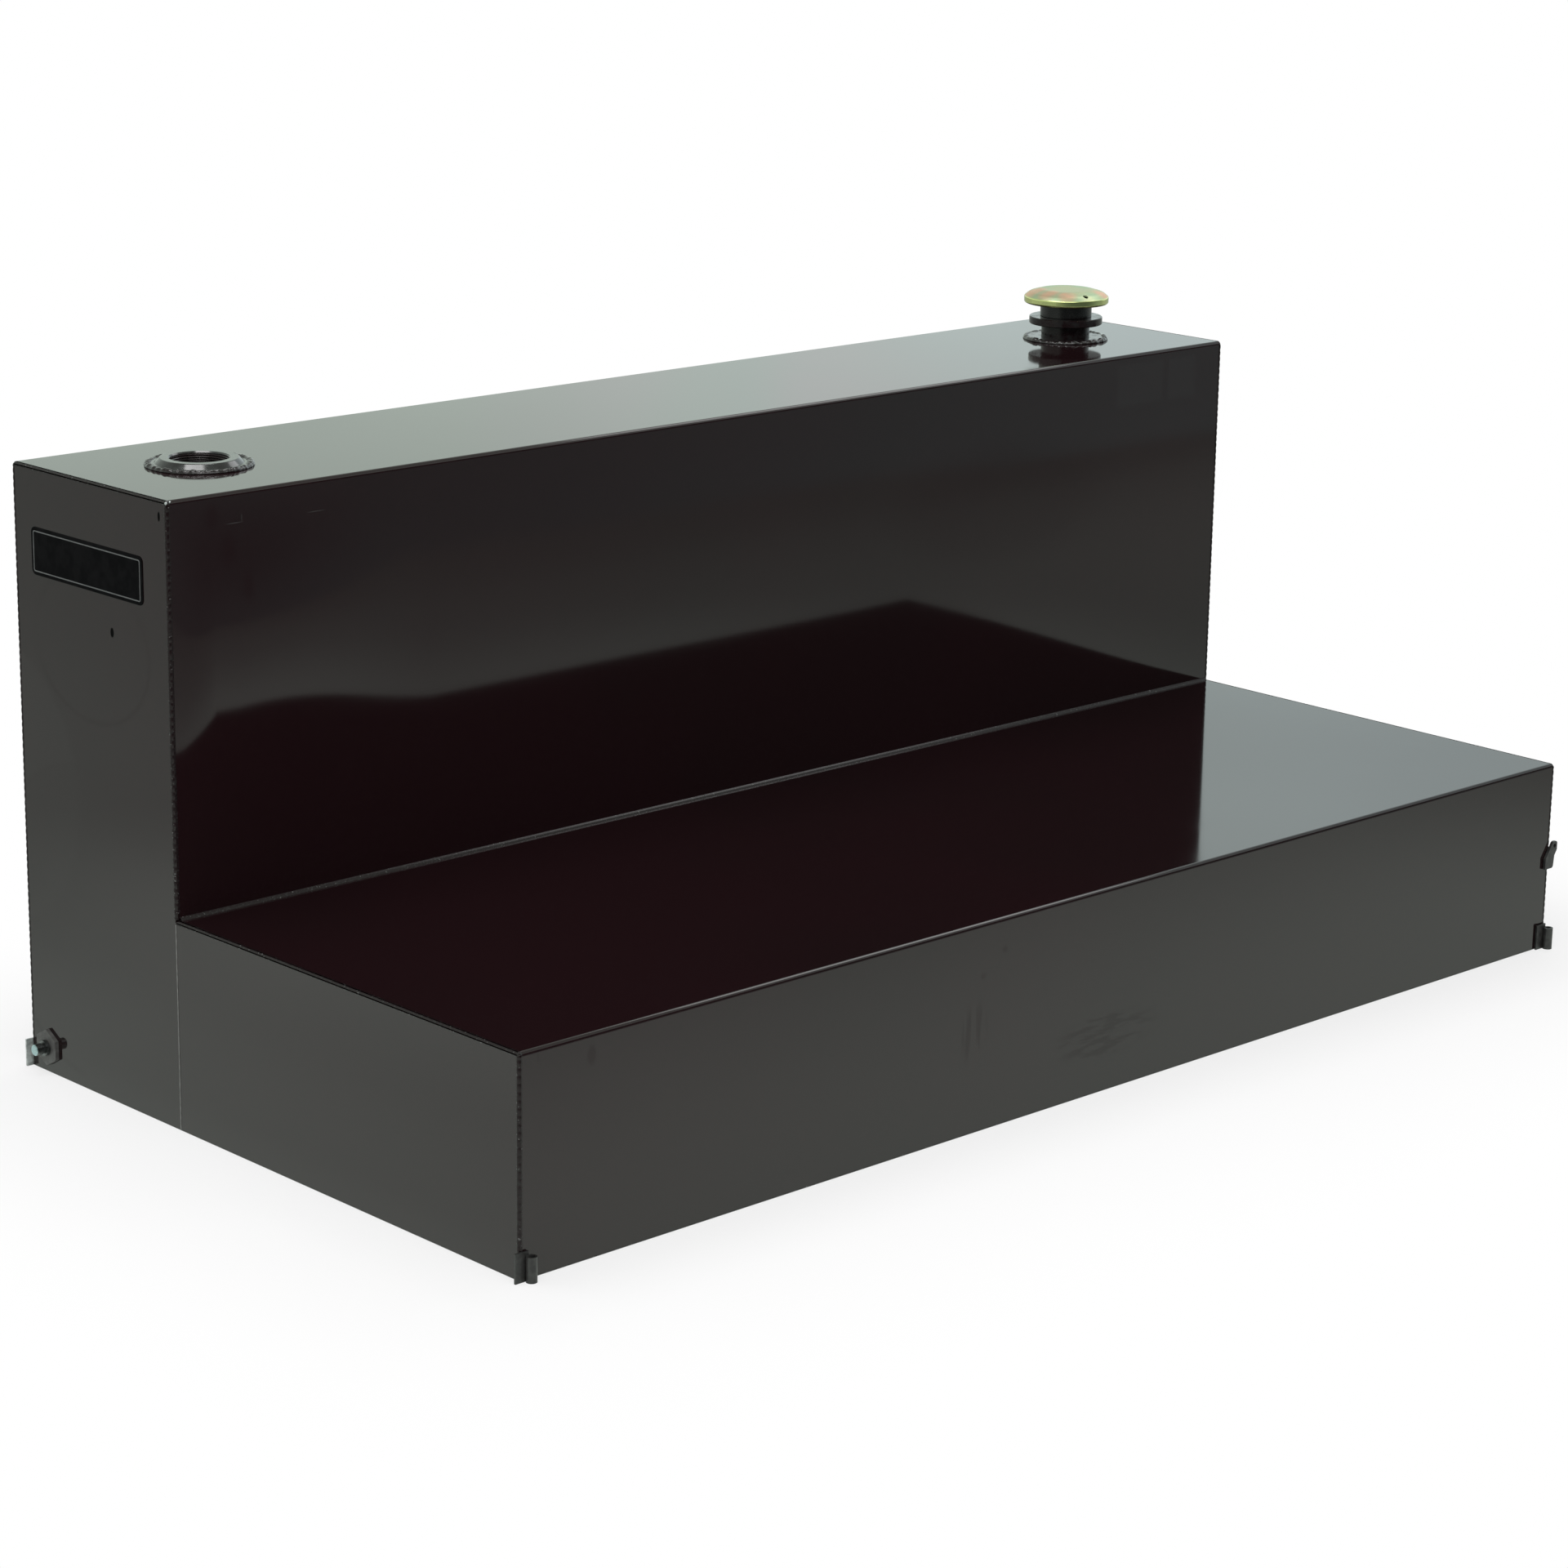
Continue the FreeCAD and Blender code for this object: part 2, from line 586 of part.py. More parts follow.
def filler_neck():
    """Flanged neck with a stop ring and a threaded mouth."""
    body = new_body("filler_neck")
    outside = "sizes.neck_outside / 2"
    inside = "(sizes.neck_outside / 2 - sizes.neck_wall)"
    mouth = "sizes.mouth_outside / 2"
    throat = "(sizes.mouth_outside / 2 - sizes.neck_wall)"
    ring_top = "(sizes.collar_base + sizes.collar_thick)"
    turned = revolve(body, "neck_turned", [
        (inside, "-sizes.neck_reach"),
        (outside, "-sizes.neck_reach"),
        (outside, "0"),
        ("sizes.neck_flange / 2", "0"),
        ("sizes.neck_flange / 2", "sizes.neck_flange_thick"),
        (outside, "sizes.neck_flange_thick"),
        (outside, "sizes.collar_base"),
        ("sizes.neck_collar / 2", "sizes.collar_base"),
        ("sizes.neck_collar / 2", ring_top),
        (mouth, ring_top),
        (mouth, "sizes.neck_rise"),
        (throat, "sizes.neck_rise"),
        (throat, "sizes.collar_base"),
        (inside, "sizes.collar_base - sizes.neck_wall"),
    ])
    ring = size("neck_collar") / 2
    base, thick = size("collar_base"), size("collar_thick")
    edges = circles_at(turned, ring, base) + circles_at(turned, ring, base + thick)
    dress(body, "Chamfer", "ring_edges", turned, edges, "sizes.collar_cut")
    place(body, FILLER_X, TALL_MIDDLE, TOP)


# Filler cap
def cap_gasket():
    """Flat ring that seals the hub against the rim of the mouth."""
    body = new_body("cap_gasket")
    inner = "sizes.mouth_outside / 2 - sizes.neck_wall"
    revolve(body, "gasket_ring", [
        (inner, "sizes.neck_rise"),
        ("sizes.mouth_outside / 2", "sizes.neck_rise"),
        ("sizes.mouth_outside / 2", CEILING),
        (inner, CEILING),
    ])
    place(body, FILLER_X, TALL_MIDDLE, TOP)


def cap_hub():
    """Threaded skirt of the cap, with a vent chamber in its top face and a notch in the
    chamber's wall."""
    body = new_body("cap_hub")
    outer, port = "sizes.hub_outside / 2", "sizes.vent_port / 2"
    skirt = "(sizes.mouth_outside / 2 + sizes.hub_gap)"
    foot = "(sizes.collar_base + sizes.collar_thick + sizes.hub_gap)"
    chamber = f"{HUB_TOP} - sizes.vent_recess"
    revolve(body, "hub_turned", [
        (port, CEILING),
        (skirt, CEILING),
        (skirt, foot),
        (outer, foot),
        (outer, HUB_TOP),
        (f"{outer} - sizes.neck_wall", HUB_TOP),
        (f"{outer} - sizes.neck_wall", chamber),
        (port, chamber),
    ])
    notch = new_sketch(body, "notch_place", "XY_Plane", HUB_TOP)
    angle = "sizes.vent_hole_angle * 1 deg"
    add_circle(notch, f"{outer} * cos({angle})", f"{outer} * sin({angle})", "sizes.vent_notch")
    pocket(body, "notch_cut", notch, "sizes.neck_wall")
    place(body, FILLER_X, TALL_MIDDLE, TOP)


def cap_disc():
    """Domed steel disc with a hemmed rim and one vent hole in its shoulder."""
    body = new_body("cap_disc")
    outer, flat = "sizes.disc_outside / 2", "sizes.disc_flat / 2"
    bend = f"({outer} - sizes.disc_shoulder)"
    skin = "sizes.disc_sheet"
    edge = f"({CREST} - sizes.disc_rise)"
    lip = f"({edge} - sizes.disc_rim)"
    pressed = revolve(body, "disc_pressed", [
        ("0", HUB_TOP),
        (f"{flat} - {skin} / 8", HUB_TOP),
        (f"{bend} - {skin} / 2", f"{CREST} - sizes.disc_bend - 0.9 * {skin}"),
        (f"{outer} - {skin}", f"{edge} - {skin} / 2"),
        (f"{outer} - {skin}", f"{lip} + sizes.disc_hem"),
        (f"{outer} - sizes.disc_hem", f"{lip} + sizes.disc_hem"),
        (f"{outer} - sizes.disc_hem", lip),
        (outer, lip),
        (outer, edge),
        (bend, f"{CREST} - sizes.disc_bend"),
        (flat, CREST),
        ("0", CREST),
    ])
    radius = size("disc_outside") / 2
    crest = size("neck_rise") + size("gasket_thick") + size("hub_ceiling") + size("disc_sheet")
    edge_height = crest - size("disc_rise")
    rim = circles_at(pressed, radius, edge_height)
    rimmed = dress(body, "Fillet", "rim_round", pressed, rim, "sizes.disc_rim_round")
    shoulder = circles_at(rimmed, radius - size("disc_shoulder"), crest - size("disc_bend"))
    bent = dress(body, "Fillet", "shoulder_round", rimmed, shoulder, "sizes.disc_bend_round")
    brow = circles_at(bent, size("disc_flat") / 2, crest)
    domed = dress(body, "Fillet", "dome_round", bent, brow, "sizes.disc_flat_round")
    foot = circles_at(domed, radius, edge_height - size("disc_rim"))
    dress(body, "Fillet", "hem_round", domed, foot, "sizes.disc_hem_round")
    hole = new_sketch(body, "vent_place", "XY_Plane", CREST)
    reach = f"({outer} - sizes.vent_hole_inset)"
    angle = "sizes.vent_hole_angle * 1 deg"
    add_circle(hole, f"{reach} * cos({angle})", f"{reach} * sin({angle})", "sizes.vent_hole")
    pocket(body, "vent_cut", hole, "sizes.disc_rise + sizes.disc_sheet")
    place(body, FILLER_X, TALL_MIDDLE, TOP)


def vent_cage():
    """Cup under the hub that holds the vent valve on its seat."""
    body = new_body("vent_cage")
    outer = "sizes.cage_outside / 2"
    inner = "(sizes.cage_outside / 2 - sizes.cage_wall)"
    seat = "sizes.seat_hole / 2"
    floor = f"({CEILING} - sizes.cage_depth)"
    revolve(body, "cage_pressed", [
        (inner, CEILING),
        (inner, f"{floor} + sizes.cage_wall"),
        (seat, f"{floor} + sizes.cage_wall"),
        (seat, floor),
        (outer, floor),
        (outer, f"{CEILING} - sizes.cage_wall"),
        ("sizes.cage_flange / 2", f"{CEILING} - sizes.cage_wall"),
        ("sizes.cage_flange / 2", CEILING),
    ])
    place(body, FILLER_X, TALL_MIDDLE, TOP)


def vent_valve():
    """Disc that lifts off its seat to let vapour out."""
    body = new_body("vent_valve")
    seat = f"({CEILING} - sizes.cage_depth + sizes.cage_wall)"
    radius = "sizes.valve_outside / 2"
    revolve(body, "valve_disc", [
        ("0", seat),
        (radius, seat),
        (radius, f"{seat} + sizes.valve_thick"),
        ("0", f"{seat} + sizes.valve_thick"),
    ])
    place(body, FILLER_X, TALL_MIDDLE, TOP)


def vent_spring():
    """Coil that presses the valve on to its seat."""
    wire = size("spring_wire")
    coil_radius = (size("spring_outside") - wire) / 2
    ceiling = size("neck_rise") + size("gasket_thick")
    valve_top = ceiling - size("cage_depth") + size("cage_wall") + size("valve_thick")
    rise = ceiling - valve_top - wire
    pitch = rise / size("spring_turns")
    helix = Part.makeHelix(pitch, rise, coil_radius)
    start = FreeCAD.Vector(coil_radius, 0, 0)
    section = Part.Wire(Part.makeCircle(wire / 2, start, FreeCAD.Vector(0, 1, 0)))
    coil = Part.Wire(helix).makePipeShell([section], True, True)
    spring = add_shape("vent_spring", coil)
    x_place = size("length") / 2 - size("filler_from_end")
    y_place = size("depth") / 2 - size("tall_depth") / 2
    z_place = size("height") + valve_top + wire / 2
    spring.Placement.Base = FreeCAD.Vector(x_place, y_place, z_place)


# Drain in the left end
def drain_bung():
    """Hexagonal bung welded over the drain hole."""
    body = new_body("drain_bung")
    outline = new_sketch(body, "drain_hexagon", "YZ_Plane", f"{LEFT} - sizes.drain_hex_thick")
    corners = []
    for turn in range(30, 390, 60):
        across = f"{DRAIN_Y} + sizes.drain_hex / 2 * cos({turn} deg)"
        upward = f"sizes.drain_height + sizes.drain_hex / 2 * sin({turn} deg)"
        corners.append((across, upward))
    add_polygon(outline, corners)
    add_circle(outline, DRAIN_Y, "sizes.drain_height", "sizes.drain_bore")
    pad(body, "drain_nut", outline, "sizes.drain_hex_thick")


def drain_plug():
    """Turned plug in the drain bung, lying along X."""
    body = new_body("drain_plug")
    shank, head = "sizes.plug_shank / 2", "sizes.plug_head / 2"
    neck, end = "sizes.plug_neck / 2", "sizes.plug_end / 2"
    head_top = "sizes.plug_head_thick"
    neck_top = f"({head_top} + sizes.plug_neck_thick)"
    end_top = f"({neck_top} + sizes.plug_end_thick)"
    tip = "-sizes.drain_hex_thick - sizes.sheet"
    turned = revolve(body, "plug_turned", [
        ("0", tip),
        (shank, tip),
        (shank, "0"),
        (head, "0"),
        (head, head_top),
        (neck, head_top),
        (neck, neck_top),
        (end, neck_top),
        (end, end_top),
        ("0", end_top),
    ])
    end_height = size("plug_head_thick") + size("plug_neck_thick") + size("plug_end_thick")
    rim = circles_at(turned, size("plug_end") / 2, end_height)
    dress(body, "Chamfer", "plug_rim", turned, rim, "sizes.plug_cut")
    body.Placement.Rotation = FreeCAD.Rotation(FreeCAD.Vector(0, 1, 0), -90)
    place(body, f"{LEFT} - sizes.drain_hex_thick", DRAIN_Y, "sizes.drain_height")


# Tie-down clips and ground tab
def clip(label, eye_x, side):
    """Strap welded to the front or back face, its end rolled into a vertical eye.
    Side is -1 on the front face and 1 on the back face."""
    if side < 0:
        plate_y = f"{FRONT} - sizes.bead_clear - sizes.clip_strap"
        eye_y = f"{FRONT} - sizes.eye_stand"
    else:
        plate_y = f"{BACK} + sizes.bead_clear"
        eye_y = f"{BACK} + sizes.eye_stand"
    plate = doc.addObject("Part::Box", f"{label}_plate")
    plate.setExpression("Length", "sizes.clip_plate")
    plate.setExpression("Width", "sizes.clip_strap")
    plate.setExpression("Height", "sizes.clip_height")
    place(plate, f"{eye_x} - sizes.clip_plate", plate_y)
    roll = doc.addObject("Part::Cylinder", f"{label}_roll")
    roll.setExpression("Radius", "sizes.eye_outside / 2")
    roll.setExpression("Height", "sizes.eye_height")
    place(roll, eye_x, eye_y)
    hole = doc.addObject("Part::Cylinder", f"{label}_hole")
    hole.setExpression("Radius", "sizes.eye_hole / 2")
    hole.setExpression("Height", "sizes.clip_height")
    place(hole, eye_x, eye_y)
    strap = doc.addObject("Part::Fuse", f"{label}_strap")
    strap.Base = plate
    strap.Tool = roll
    piece = doc.addObject("Part::Cut", label)
    piece.Label = label
    piece.Base = strap
    piece.Tool = hole
    tank.append(piece)


def ground_tab():
    """Small plate on the right front corner with a hole for a bonding wire. A sketch on
    the XZ plane looks along Y, so its offset runs from the origin towards the front."""
    body = new_body("ground_tab")
    outline = new_sketch(body, "tab_outline", "XZ_Plane", "sizes.depth / 2 + sizes.bead_clear")
    base, top = "sizes.tab_height", "sizes.tab_height + sizes.tab_rise"
    add_polygon(outline, [
        (f"{RIGHT} - sizes.tab_lap", base),
        (f"{RIGHT} + sizes.tab_foot", base),
        (f"{RIGHT} + sizes.tab_waist", f"{base} + sizes.tab_waist_rise"),
        (f"{RIGHT} + sizes.tab_ear", f"{base} + sizes.tab_ear_rise"),
        (f"{RIGHT} + sizes.tab_ear", top),
        (f"{RIGHT} + sizes.tab_shoulder", top),
        (f"{RIGHT} - sizes.tab_lap", f"{base} + sizes.tab_lap_rise"),
    ])
    plate = pad(body, "tab_plate", outline, "sizes.tab_thick")
    corner, foot = size("length") / 2, size("tab_height")
    crown = foot + size("tab_rise")
    edges = edges_at(plate, corner + size("tab_foot"), foot, ALONG_Y)
    edges += edges_at(plate, corner + size("tab_ear"), foot + size("tab_ear_rise"), ALONG_Y)
    edges += edges_at(plate, corner + size("tab_ear"), crown, ALONG_Y)
    edges += edges_at(plate, corner + size("tab_shoulder"), crown, ALONG_Y)
    dress(body, "Fillet", "tab_corners", plate, edges, "sizes.tab_round")
    hole = new_sketch(body, "tab_hole_place", "XZ_Plane", "sizes.depth / 2")
    add_circle(hole, f"{RIGHT} + sizes.tab_hole_out", f"{top} - sizes.tab_hole_edge", "sizes.tab_hole")
    pocket(body, "tab_cut", hole, "4 * sizes.tab_thick", both_ways=True)


def build_tank():
    tall_wrapper()
    low_wrapper()
    floor_sheet()
    end_plates()
    baffle("baffle_left", "-sizes.baffle_pitch / 2")
    baffle("baffle_right", "sizes.baffle_pitch / 2")
    for name, side in (("left", -1), ("right", 1)):
        tall_bead(f"weld_{name}_tall", side)
        low_bead(f"weld_{name}_low", side)
    seam_bead("weld_left_seam", f"{LEFT} - sizes.seam_crown")
    seam_bead("weld_right_seam", f"{RIGHT} - sizes.sheet")
    floor_bead()
    deck_bead()
    pump_bung()
    ring_bead("weld_bung", "sizes.bung_flange / 2", BUNG_X)
    filler_neck()
    ring_bead("weld_neck", "sizes.neck_flange / 2", FILLER_X)
    cap_gasket()
    cap_hub()
    cap_disc()
    vent_cage()
    vent_valve()
    vent_spring()
    drain_bung()
    drain_plug()
    for face, side in (("front", -1), ("rear", 1)):
        clip(f"clip_{face}_left", f"{LEFT} + sizes.left_eye_inset", side)
        clip(f"clip_{face}_right", f"{RIGHT} - sizes.right_eye_inset", side)
    ground_tab()


def check_document():
    for item in doc.Objects:
        state = [word for word in item.State if word in ("Invalid", "Error")]
        assert not state, f"{item.Label} is {state}"
    for piece in tank:
        shape = piece.Shape
        assert not shape.isNull() and shape.isValid() and shape.Volume > 0, piece.Label


build_tank()
doc.recompute()
check_document()
for piece in tank:
    piece.Shape.exportStep(f"parts/{piece.Label}.step")
    print(piece.Label, len(piece.Shape.Solids), round(piece.Shape.Volume))
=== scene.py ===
import bpy
import math
from mathutils import Matrix, Vector, noise


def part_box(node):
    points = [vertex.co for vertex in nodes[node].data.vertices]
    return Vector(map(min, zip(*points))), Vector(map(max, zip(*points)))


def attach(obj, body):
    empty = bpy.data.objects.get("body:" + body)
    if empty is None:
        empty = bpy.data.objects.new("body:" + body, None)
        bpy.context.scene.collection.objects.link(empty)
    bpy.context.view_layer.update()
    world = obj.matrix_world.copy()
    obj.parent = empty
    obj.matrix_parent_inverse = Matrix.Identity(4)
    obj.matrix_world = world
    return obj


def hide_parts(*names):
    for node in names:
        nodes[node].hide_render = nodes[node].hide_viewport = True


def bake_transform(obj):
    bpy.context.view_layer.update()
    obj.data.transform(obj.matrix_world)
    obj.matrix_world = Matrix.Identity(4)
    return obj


# Truck bed transfer tank in gloss black paint, with rippled weld beads, a yellow zinc
# filler cap and a bare nameplate, in a plain white studio. Metres.

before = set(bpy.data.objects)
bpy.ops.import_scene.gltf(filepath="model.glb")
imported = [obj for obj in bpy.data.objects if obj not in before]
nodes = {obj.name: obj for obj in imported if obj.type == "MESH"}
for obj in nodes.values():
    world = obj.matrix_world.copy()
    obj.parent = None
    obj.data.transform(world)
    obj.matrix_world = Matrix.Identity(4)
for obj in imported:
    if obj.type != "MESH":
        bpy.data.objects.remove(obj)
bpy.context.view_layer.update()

MM = 0.001

# Places read from the frame
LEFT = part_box("left_end_tall")[0].x
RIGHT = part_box("right_end_tall")[1].x
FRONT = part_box("low_wrapper")[0].y
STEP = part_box("tall_wrapper")[0].y
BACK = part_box("tall_wrapper")[1].y
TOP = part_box("tall_wrapper")[1].z
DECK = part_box("low_wrapper")[1].z
BUNG_LOW, BUNG_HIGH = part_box("pump_bung")
NECK_LOW, NECK_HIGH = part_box("filler_neck")
BUNG_AXIS = (BUNG_LOW + BUNG_HIGH) / 2
NECK_AXIS = (NECK_LOW + NECK_HIGH) / 2
PLUG_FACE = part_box("drain_plug")[0].x

# Sheet metal sizes
SHEET = 1.9 * MM
FOLD_RADIUS = 4 * MM
BEAD_LAP = 2 * MM
BEAD_FOOT = 0.8 * MM

# Sizes of the fittings, heights above the tank's top
BUNG_FLANGE_RADIUS = 49 * MM
BUNG_THREAD_RADIUS, BUNG_THREAD_PITCH = 28.5 * MM, 2.2 * MM
BUNG_THREAD_LOW, BUNG_THREAD_HIGH = -17 * MM, 5.8 * MM
NECK_FLANGE_RADIUS = 45 * MM
NECK_THREAD_RADIUS, NECK_THREAD_PITCH = 24 * MM, 4 * MM
NECK_THREAD_LOW, NECK_THREAD_HIGH = 27.4 * MM, 36.5 * MM
DISC_RIM_LOW, DISC_RIM_HIGH = 48.6 * MM, 50.6 * MM

PAINT_IOR = 1.5

CAMERA_PLACE = (-2.8633, -2.9355, 1.3638)
CAMERA_AZIMUTH, CAMERA_ELEVATION, CAMERA_ROLL = -43.598, 15.352, 0.864
CAMERA_LENS, CAMERA_SENSOR = 94.07, 36


# Camera
def make_camera():
    """Matches the photograph: a long lens, seen from the left end and a little above."""
    azimuth, elevation, roll = map(math.radians, (CAMERA_AZIMUTH, CAMERA_ELEVATION, CAMERA_ROLL))
    right = Vector((math.cos(azimuth), math.sin(azimuth), 0))
    forward = Vector((
        -math.sin(azimuth) * math.cos(elevation),
        math.cos(azimuth) * math.cos(elevation),
        -math.sin(elevation),
    ))
    up = right.cross(forward)
    across = right * math.cos(roll) + up * math.sin(roll)
    upward = up * math.cos(roll) - right * math.sin(roll)
    turn = Matrix((across, upward, -forward)).transposed().to_4x4()
    data = bpy.data.cameras.new("camera")
    data.sensor_width = CAMERA_SENSOR
    data.lens = CAMERA_LENS
    camera = bpy.data.objects.new("camera", data)
    camera.matrix_world = Matrix.Translation(CAMERA_PLACE) @ turn
    bpy.context.scene.collection.objects.link(camera)
    bpy.context.scene.camera = camera


# Node helpers
class Tree:
    """A node tree with short ways to add to it."""

    def __init__(self, tree):
        self.tree = tree

    def node(self, kind, **settings):
        made = self.tree.nodes.new(kind)
        for key, value in settings.items():
            if key in made.inputs:
                made.inputs[key].default_value = value
            else:
                setattr(made, key, value)
        return made

    def link(self, output, target):
        self.tree.links.new(output, target)

    def axes(self, vector):
        """The three numbers of a vector."""
        split = self.node("ShaderNodeSeparateXYZ")
        self.link(vector, split.inputs[0])
        return split.outputs

    def clouds(self, vector, scale, detail, roughness=0.5):
        """A cloudy value between 0 and 1."""
        texture = self.node("ShaderNodeTexNoise", Scale=scale, Detail=detail, Roughness=roughness)
        self.link(vector, texture.inputs["Vector"])
        return texture.outputs["Fac"]

    def span(self, value, from_low, from_high, to_low, to_high):
        """Maps a value from one range to another, clamped, with soft ends."""
        ranged = self.node("ShaderNodeMapRange", interpolation_type="SMOOTHSTEP")
        for key, number in zip(("From Min", "From Max", "To Min", "To Max"),
                               (from_low, from_high, to_low, to_high)):
            ranged.inputs[key].default_value = number
        self.link(value, ranged.inputs["Value"])
        return ranged.outputs["Result"]

    def maths(self, operation, first, second=0.0):
        """One operation on two values, each a number or another node's output."""
        made = self.node("ShaderNodeMath", operation=operation)
        for socket, value in zip(made.inputs, (first, second)):
            if isinstance(value, (int, float)):
                socket.default_value = value
            else:
                self.link(value, socket)
        return made.outputs[0]

    def product(self, first, *others):
        """Several values multiplied."""
        for other in others:
            first = self.maths("MULTIPLY", first, other)
        return first

    def blend(self, factor, first, second):
        """Colour between two colours, each a triple or another node's output."""
        made = self.node("ShaderNodeMix", data_type="RGBA")
        self.link(factor, made.inputs["Factor"])
        for socket, colour in ((made.inputs[6], first), (made.inputs[7], second)):
            if isinstance(colour, tuple):
                socket.default_value = (*colour, 1)
            else:
                self.link(colour, socket)
        return made.outputs[2]

    def mix(self, factor, first, second):
        """A share of two shader nodes."""
        made = self.node("ShaderNodeMixShader")
        for socket, output in zip(made.inputs, (factor, first.outputs[0], second.outputs[0])):
            self.link(output, socket)
        return made


class Shader(Tree):
    """A material's node tree, with its Principled shader."""

    def __init__(self, name):
        self.material = bpy.data.materials.new(name)
        self.material.use_nodes = True
        super().__init__(self.material.node_tree)
        self.surface = self.tree.nodes["Principled BSDF"]

    def place(self, stretch=(1, 1, 1)):
        """Object coordinates in metres, squeezed per axis."""
        source = self.node("ShaderNodeTexCoord")
        mapping = self.node("ShaderNodeMapping", Scale=stretch)
        self.link(source.outputs["Object"], mapping.inputs["Vector"])
        return mapping.outputs["Vector"]

    def grain(self, scale, detail=3, roughness=0.5, stretch=(1, 1, 1)):
        """Noise fixed to the object, with its scale per metre."""
        return self.clouds(self.place(stretch), scale, detail, roughness)

    def relief(self, height, distance, below=None):
        """Bump from a height in units of distance, on top of another bump."""
        made = self.node("ShaderNodeBump", Distance=distance)
        self.link(height, made.inputs["Height"])
        if below is not None:
            self.link(below, made.inputs["Normal"])
        return made.outputs["Normal"]

    def show(self, made):
        """Shows another shader node in place of the Principled shader."""
        self.link(made.outputs[0], self.tree.nodes["Material Output"].inputs["Surface"])

    def set(self, **values):
        """Numbers, colours or other nodes' outputs for the Principled shader."""
        for key, value in values.items():
            socket = self.surface.inputs[key.replace("_", " ")]
            if isinstance(value, (int, float)):
                socket.default_value = value
            elif isinstance(value, tuple):
                socket.default_value = (*value, 1)
            else:
                self.link(value, socket)


def dress(piece, material):
    """Gives a piece one material."""
    piece.data.materials.clear()
    piece.data.materials.append(material)


# Materials
def away(shader, centre, radii):
    """Distance from a centre in units of an ellipsoid's radii."""
    moved = shader.node("ShaderNodeVectorMath", operation="SUBTRACT")
    shader.link(shader.place(), moved.inputs[0])
    moved.inputs[1].default_value = centre
    scaled = shader.node("ShaderNodeVectorMath", operation="DIVIDE")
    shader.link(moved.outputs[0], scaled.inputs[0])
    scaled.inputs[1].default_value = radii
    length = shader.node("ShaderNodeVectorMath", operation="LENGTH")
    shader.link(scaled.outputs[0], length.inputs[0])
    return length.outputs["Value"]


def spot(shader, centre, radii, soft=0.3):
    """1 inside an ellipsoid and 0 outside it."""
    return shader.span(away(shader, centre, radii), 1 - soft, 1, 1, 0)


def rim(shader, centre, radii, width):
    """1 on the shell of an ellipsoid and 0 elsewhere."""
    distance = away(shader, centre, radii)
    return shader.product(shader.span(distance, 1 - width, 1, 0, 1),
                          shader.span(distance, 1, 1 + width, 1, 0))


def together(shader, *masks):
    """The strongest of several masks at each place."""
    whole = masks[0]
    for mask in masks[1:]:
        whole = shader.maths("MAXIMUM", whole, mask)
    return whole


def wall_buckle(shader):
    """Height of the tall front wall's bulge in metres: it swells above the deck weld,
    most of all beside the left corner."""
    across, _, upward = shader.axes(shader.place())
    swell = shader.product(shader.span(upward, 0.24, 0.47, 0, 1),
                           shader.span(upward, 0.47, 0.61, 1, 0))
    left_side = shader.product(shader.span(across, -0.745, -0.685, 0, 1),
                               shader.span(across, -0.657, -0.43, 1, 0))
    right_side = shader.span(across, 0.1, 0.55, 0, 1)
    height = shader.maths("ADD", shader.product(left_side, 5.2 * MM),
                          shader.product(right_side, 0.9 * MM))
    return shader.product(swell, shader.maths("ADD", height, 1.25 * MM))


def paint(name, gloss=0.062, wave=0.5 * MM, buckle=None, marks=None, sheen=None):
    """Gloss black paint on a thin sheet that isn't quite flat: the wide noise is the
    waviness of the sheet, the fine one is the skin of the sprayed paint. Marks give a
    mask and its colour, and sheen gives a share added to the mirror's strength."""
    shader = Shader(name)
    film = shader.span(shader.grain(2.2, 2), 0.35, 0.65, 0, 1)
    colour = shader.blend(film, (0.0124, 0.0048, 0.0058), (0.0108, 0.0050, 0.0056))
    dust = shader.span(shader.grain(2100, 1, 0.5), 0.72, 0.78, 0, 1)
    colour = shader.blend(dust, colour, (0.05, 0.05, 0.048))
    if marks is not None:
        mask, tone = marks(shader)
        colour = shader.blend(mask, colour, tone)
    haze = shader.span(shader.grain(3.1, 4, 0.6, (1, 1, 1.6)), 0.52, 0.75, 0, 0.03)
    streak = shader.span(shader.grain(14, 3, 0.6, (0.25, 0.25, 3)), 0.4, 0.8, 0, 0.015)
    roughness = shader.maths("ADD", shader.maths("ADD", haze, streak), gloss)
    height = shader.product(shader.grain(1.9, 1, 0.4), wave)
    if buckle is not None:
        height = shader.maths("ADD", height, buckle(shader))
    lying = shader.relief(height, 1)
    skin = shader.relief(shader.grain(420, 2, 0.5), 0.003 * MM, lying)
    shader.set(Base_Color=colour, Roughness=roughness, IOR=PAINT_IOR, Normal=skin)
    if sheen is not None:
        shader.set(Specular_IOR_Level=shader.product(sheen(shader), 0.5))
    return shader.material


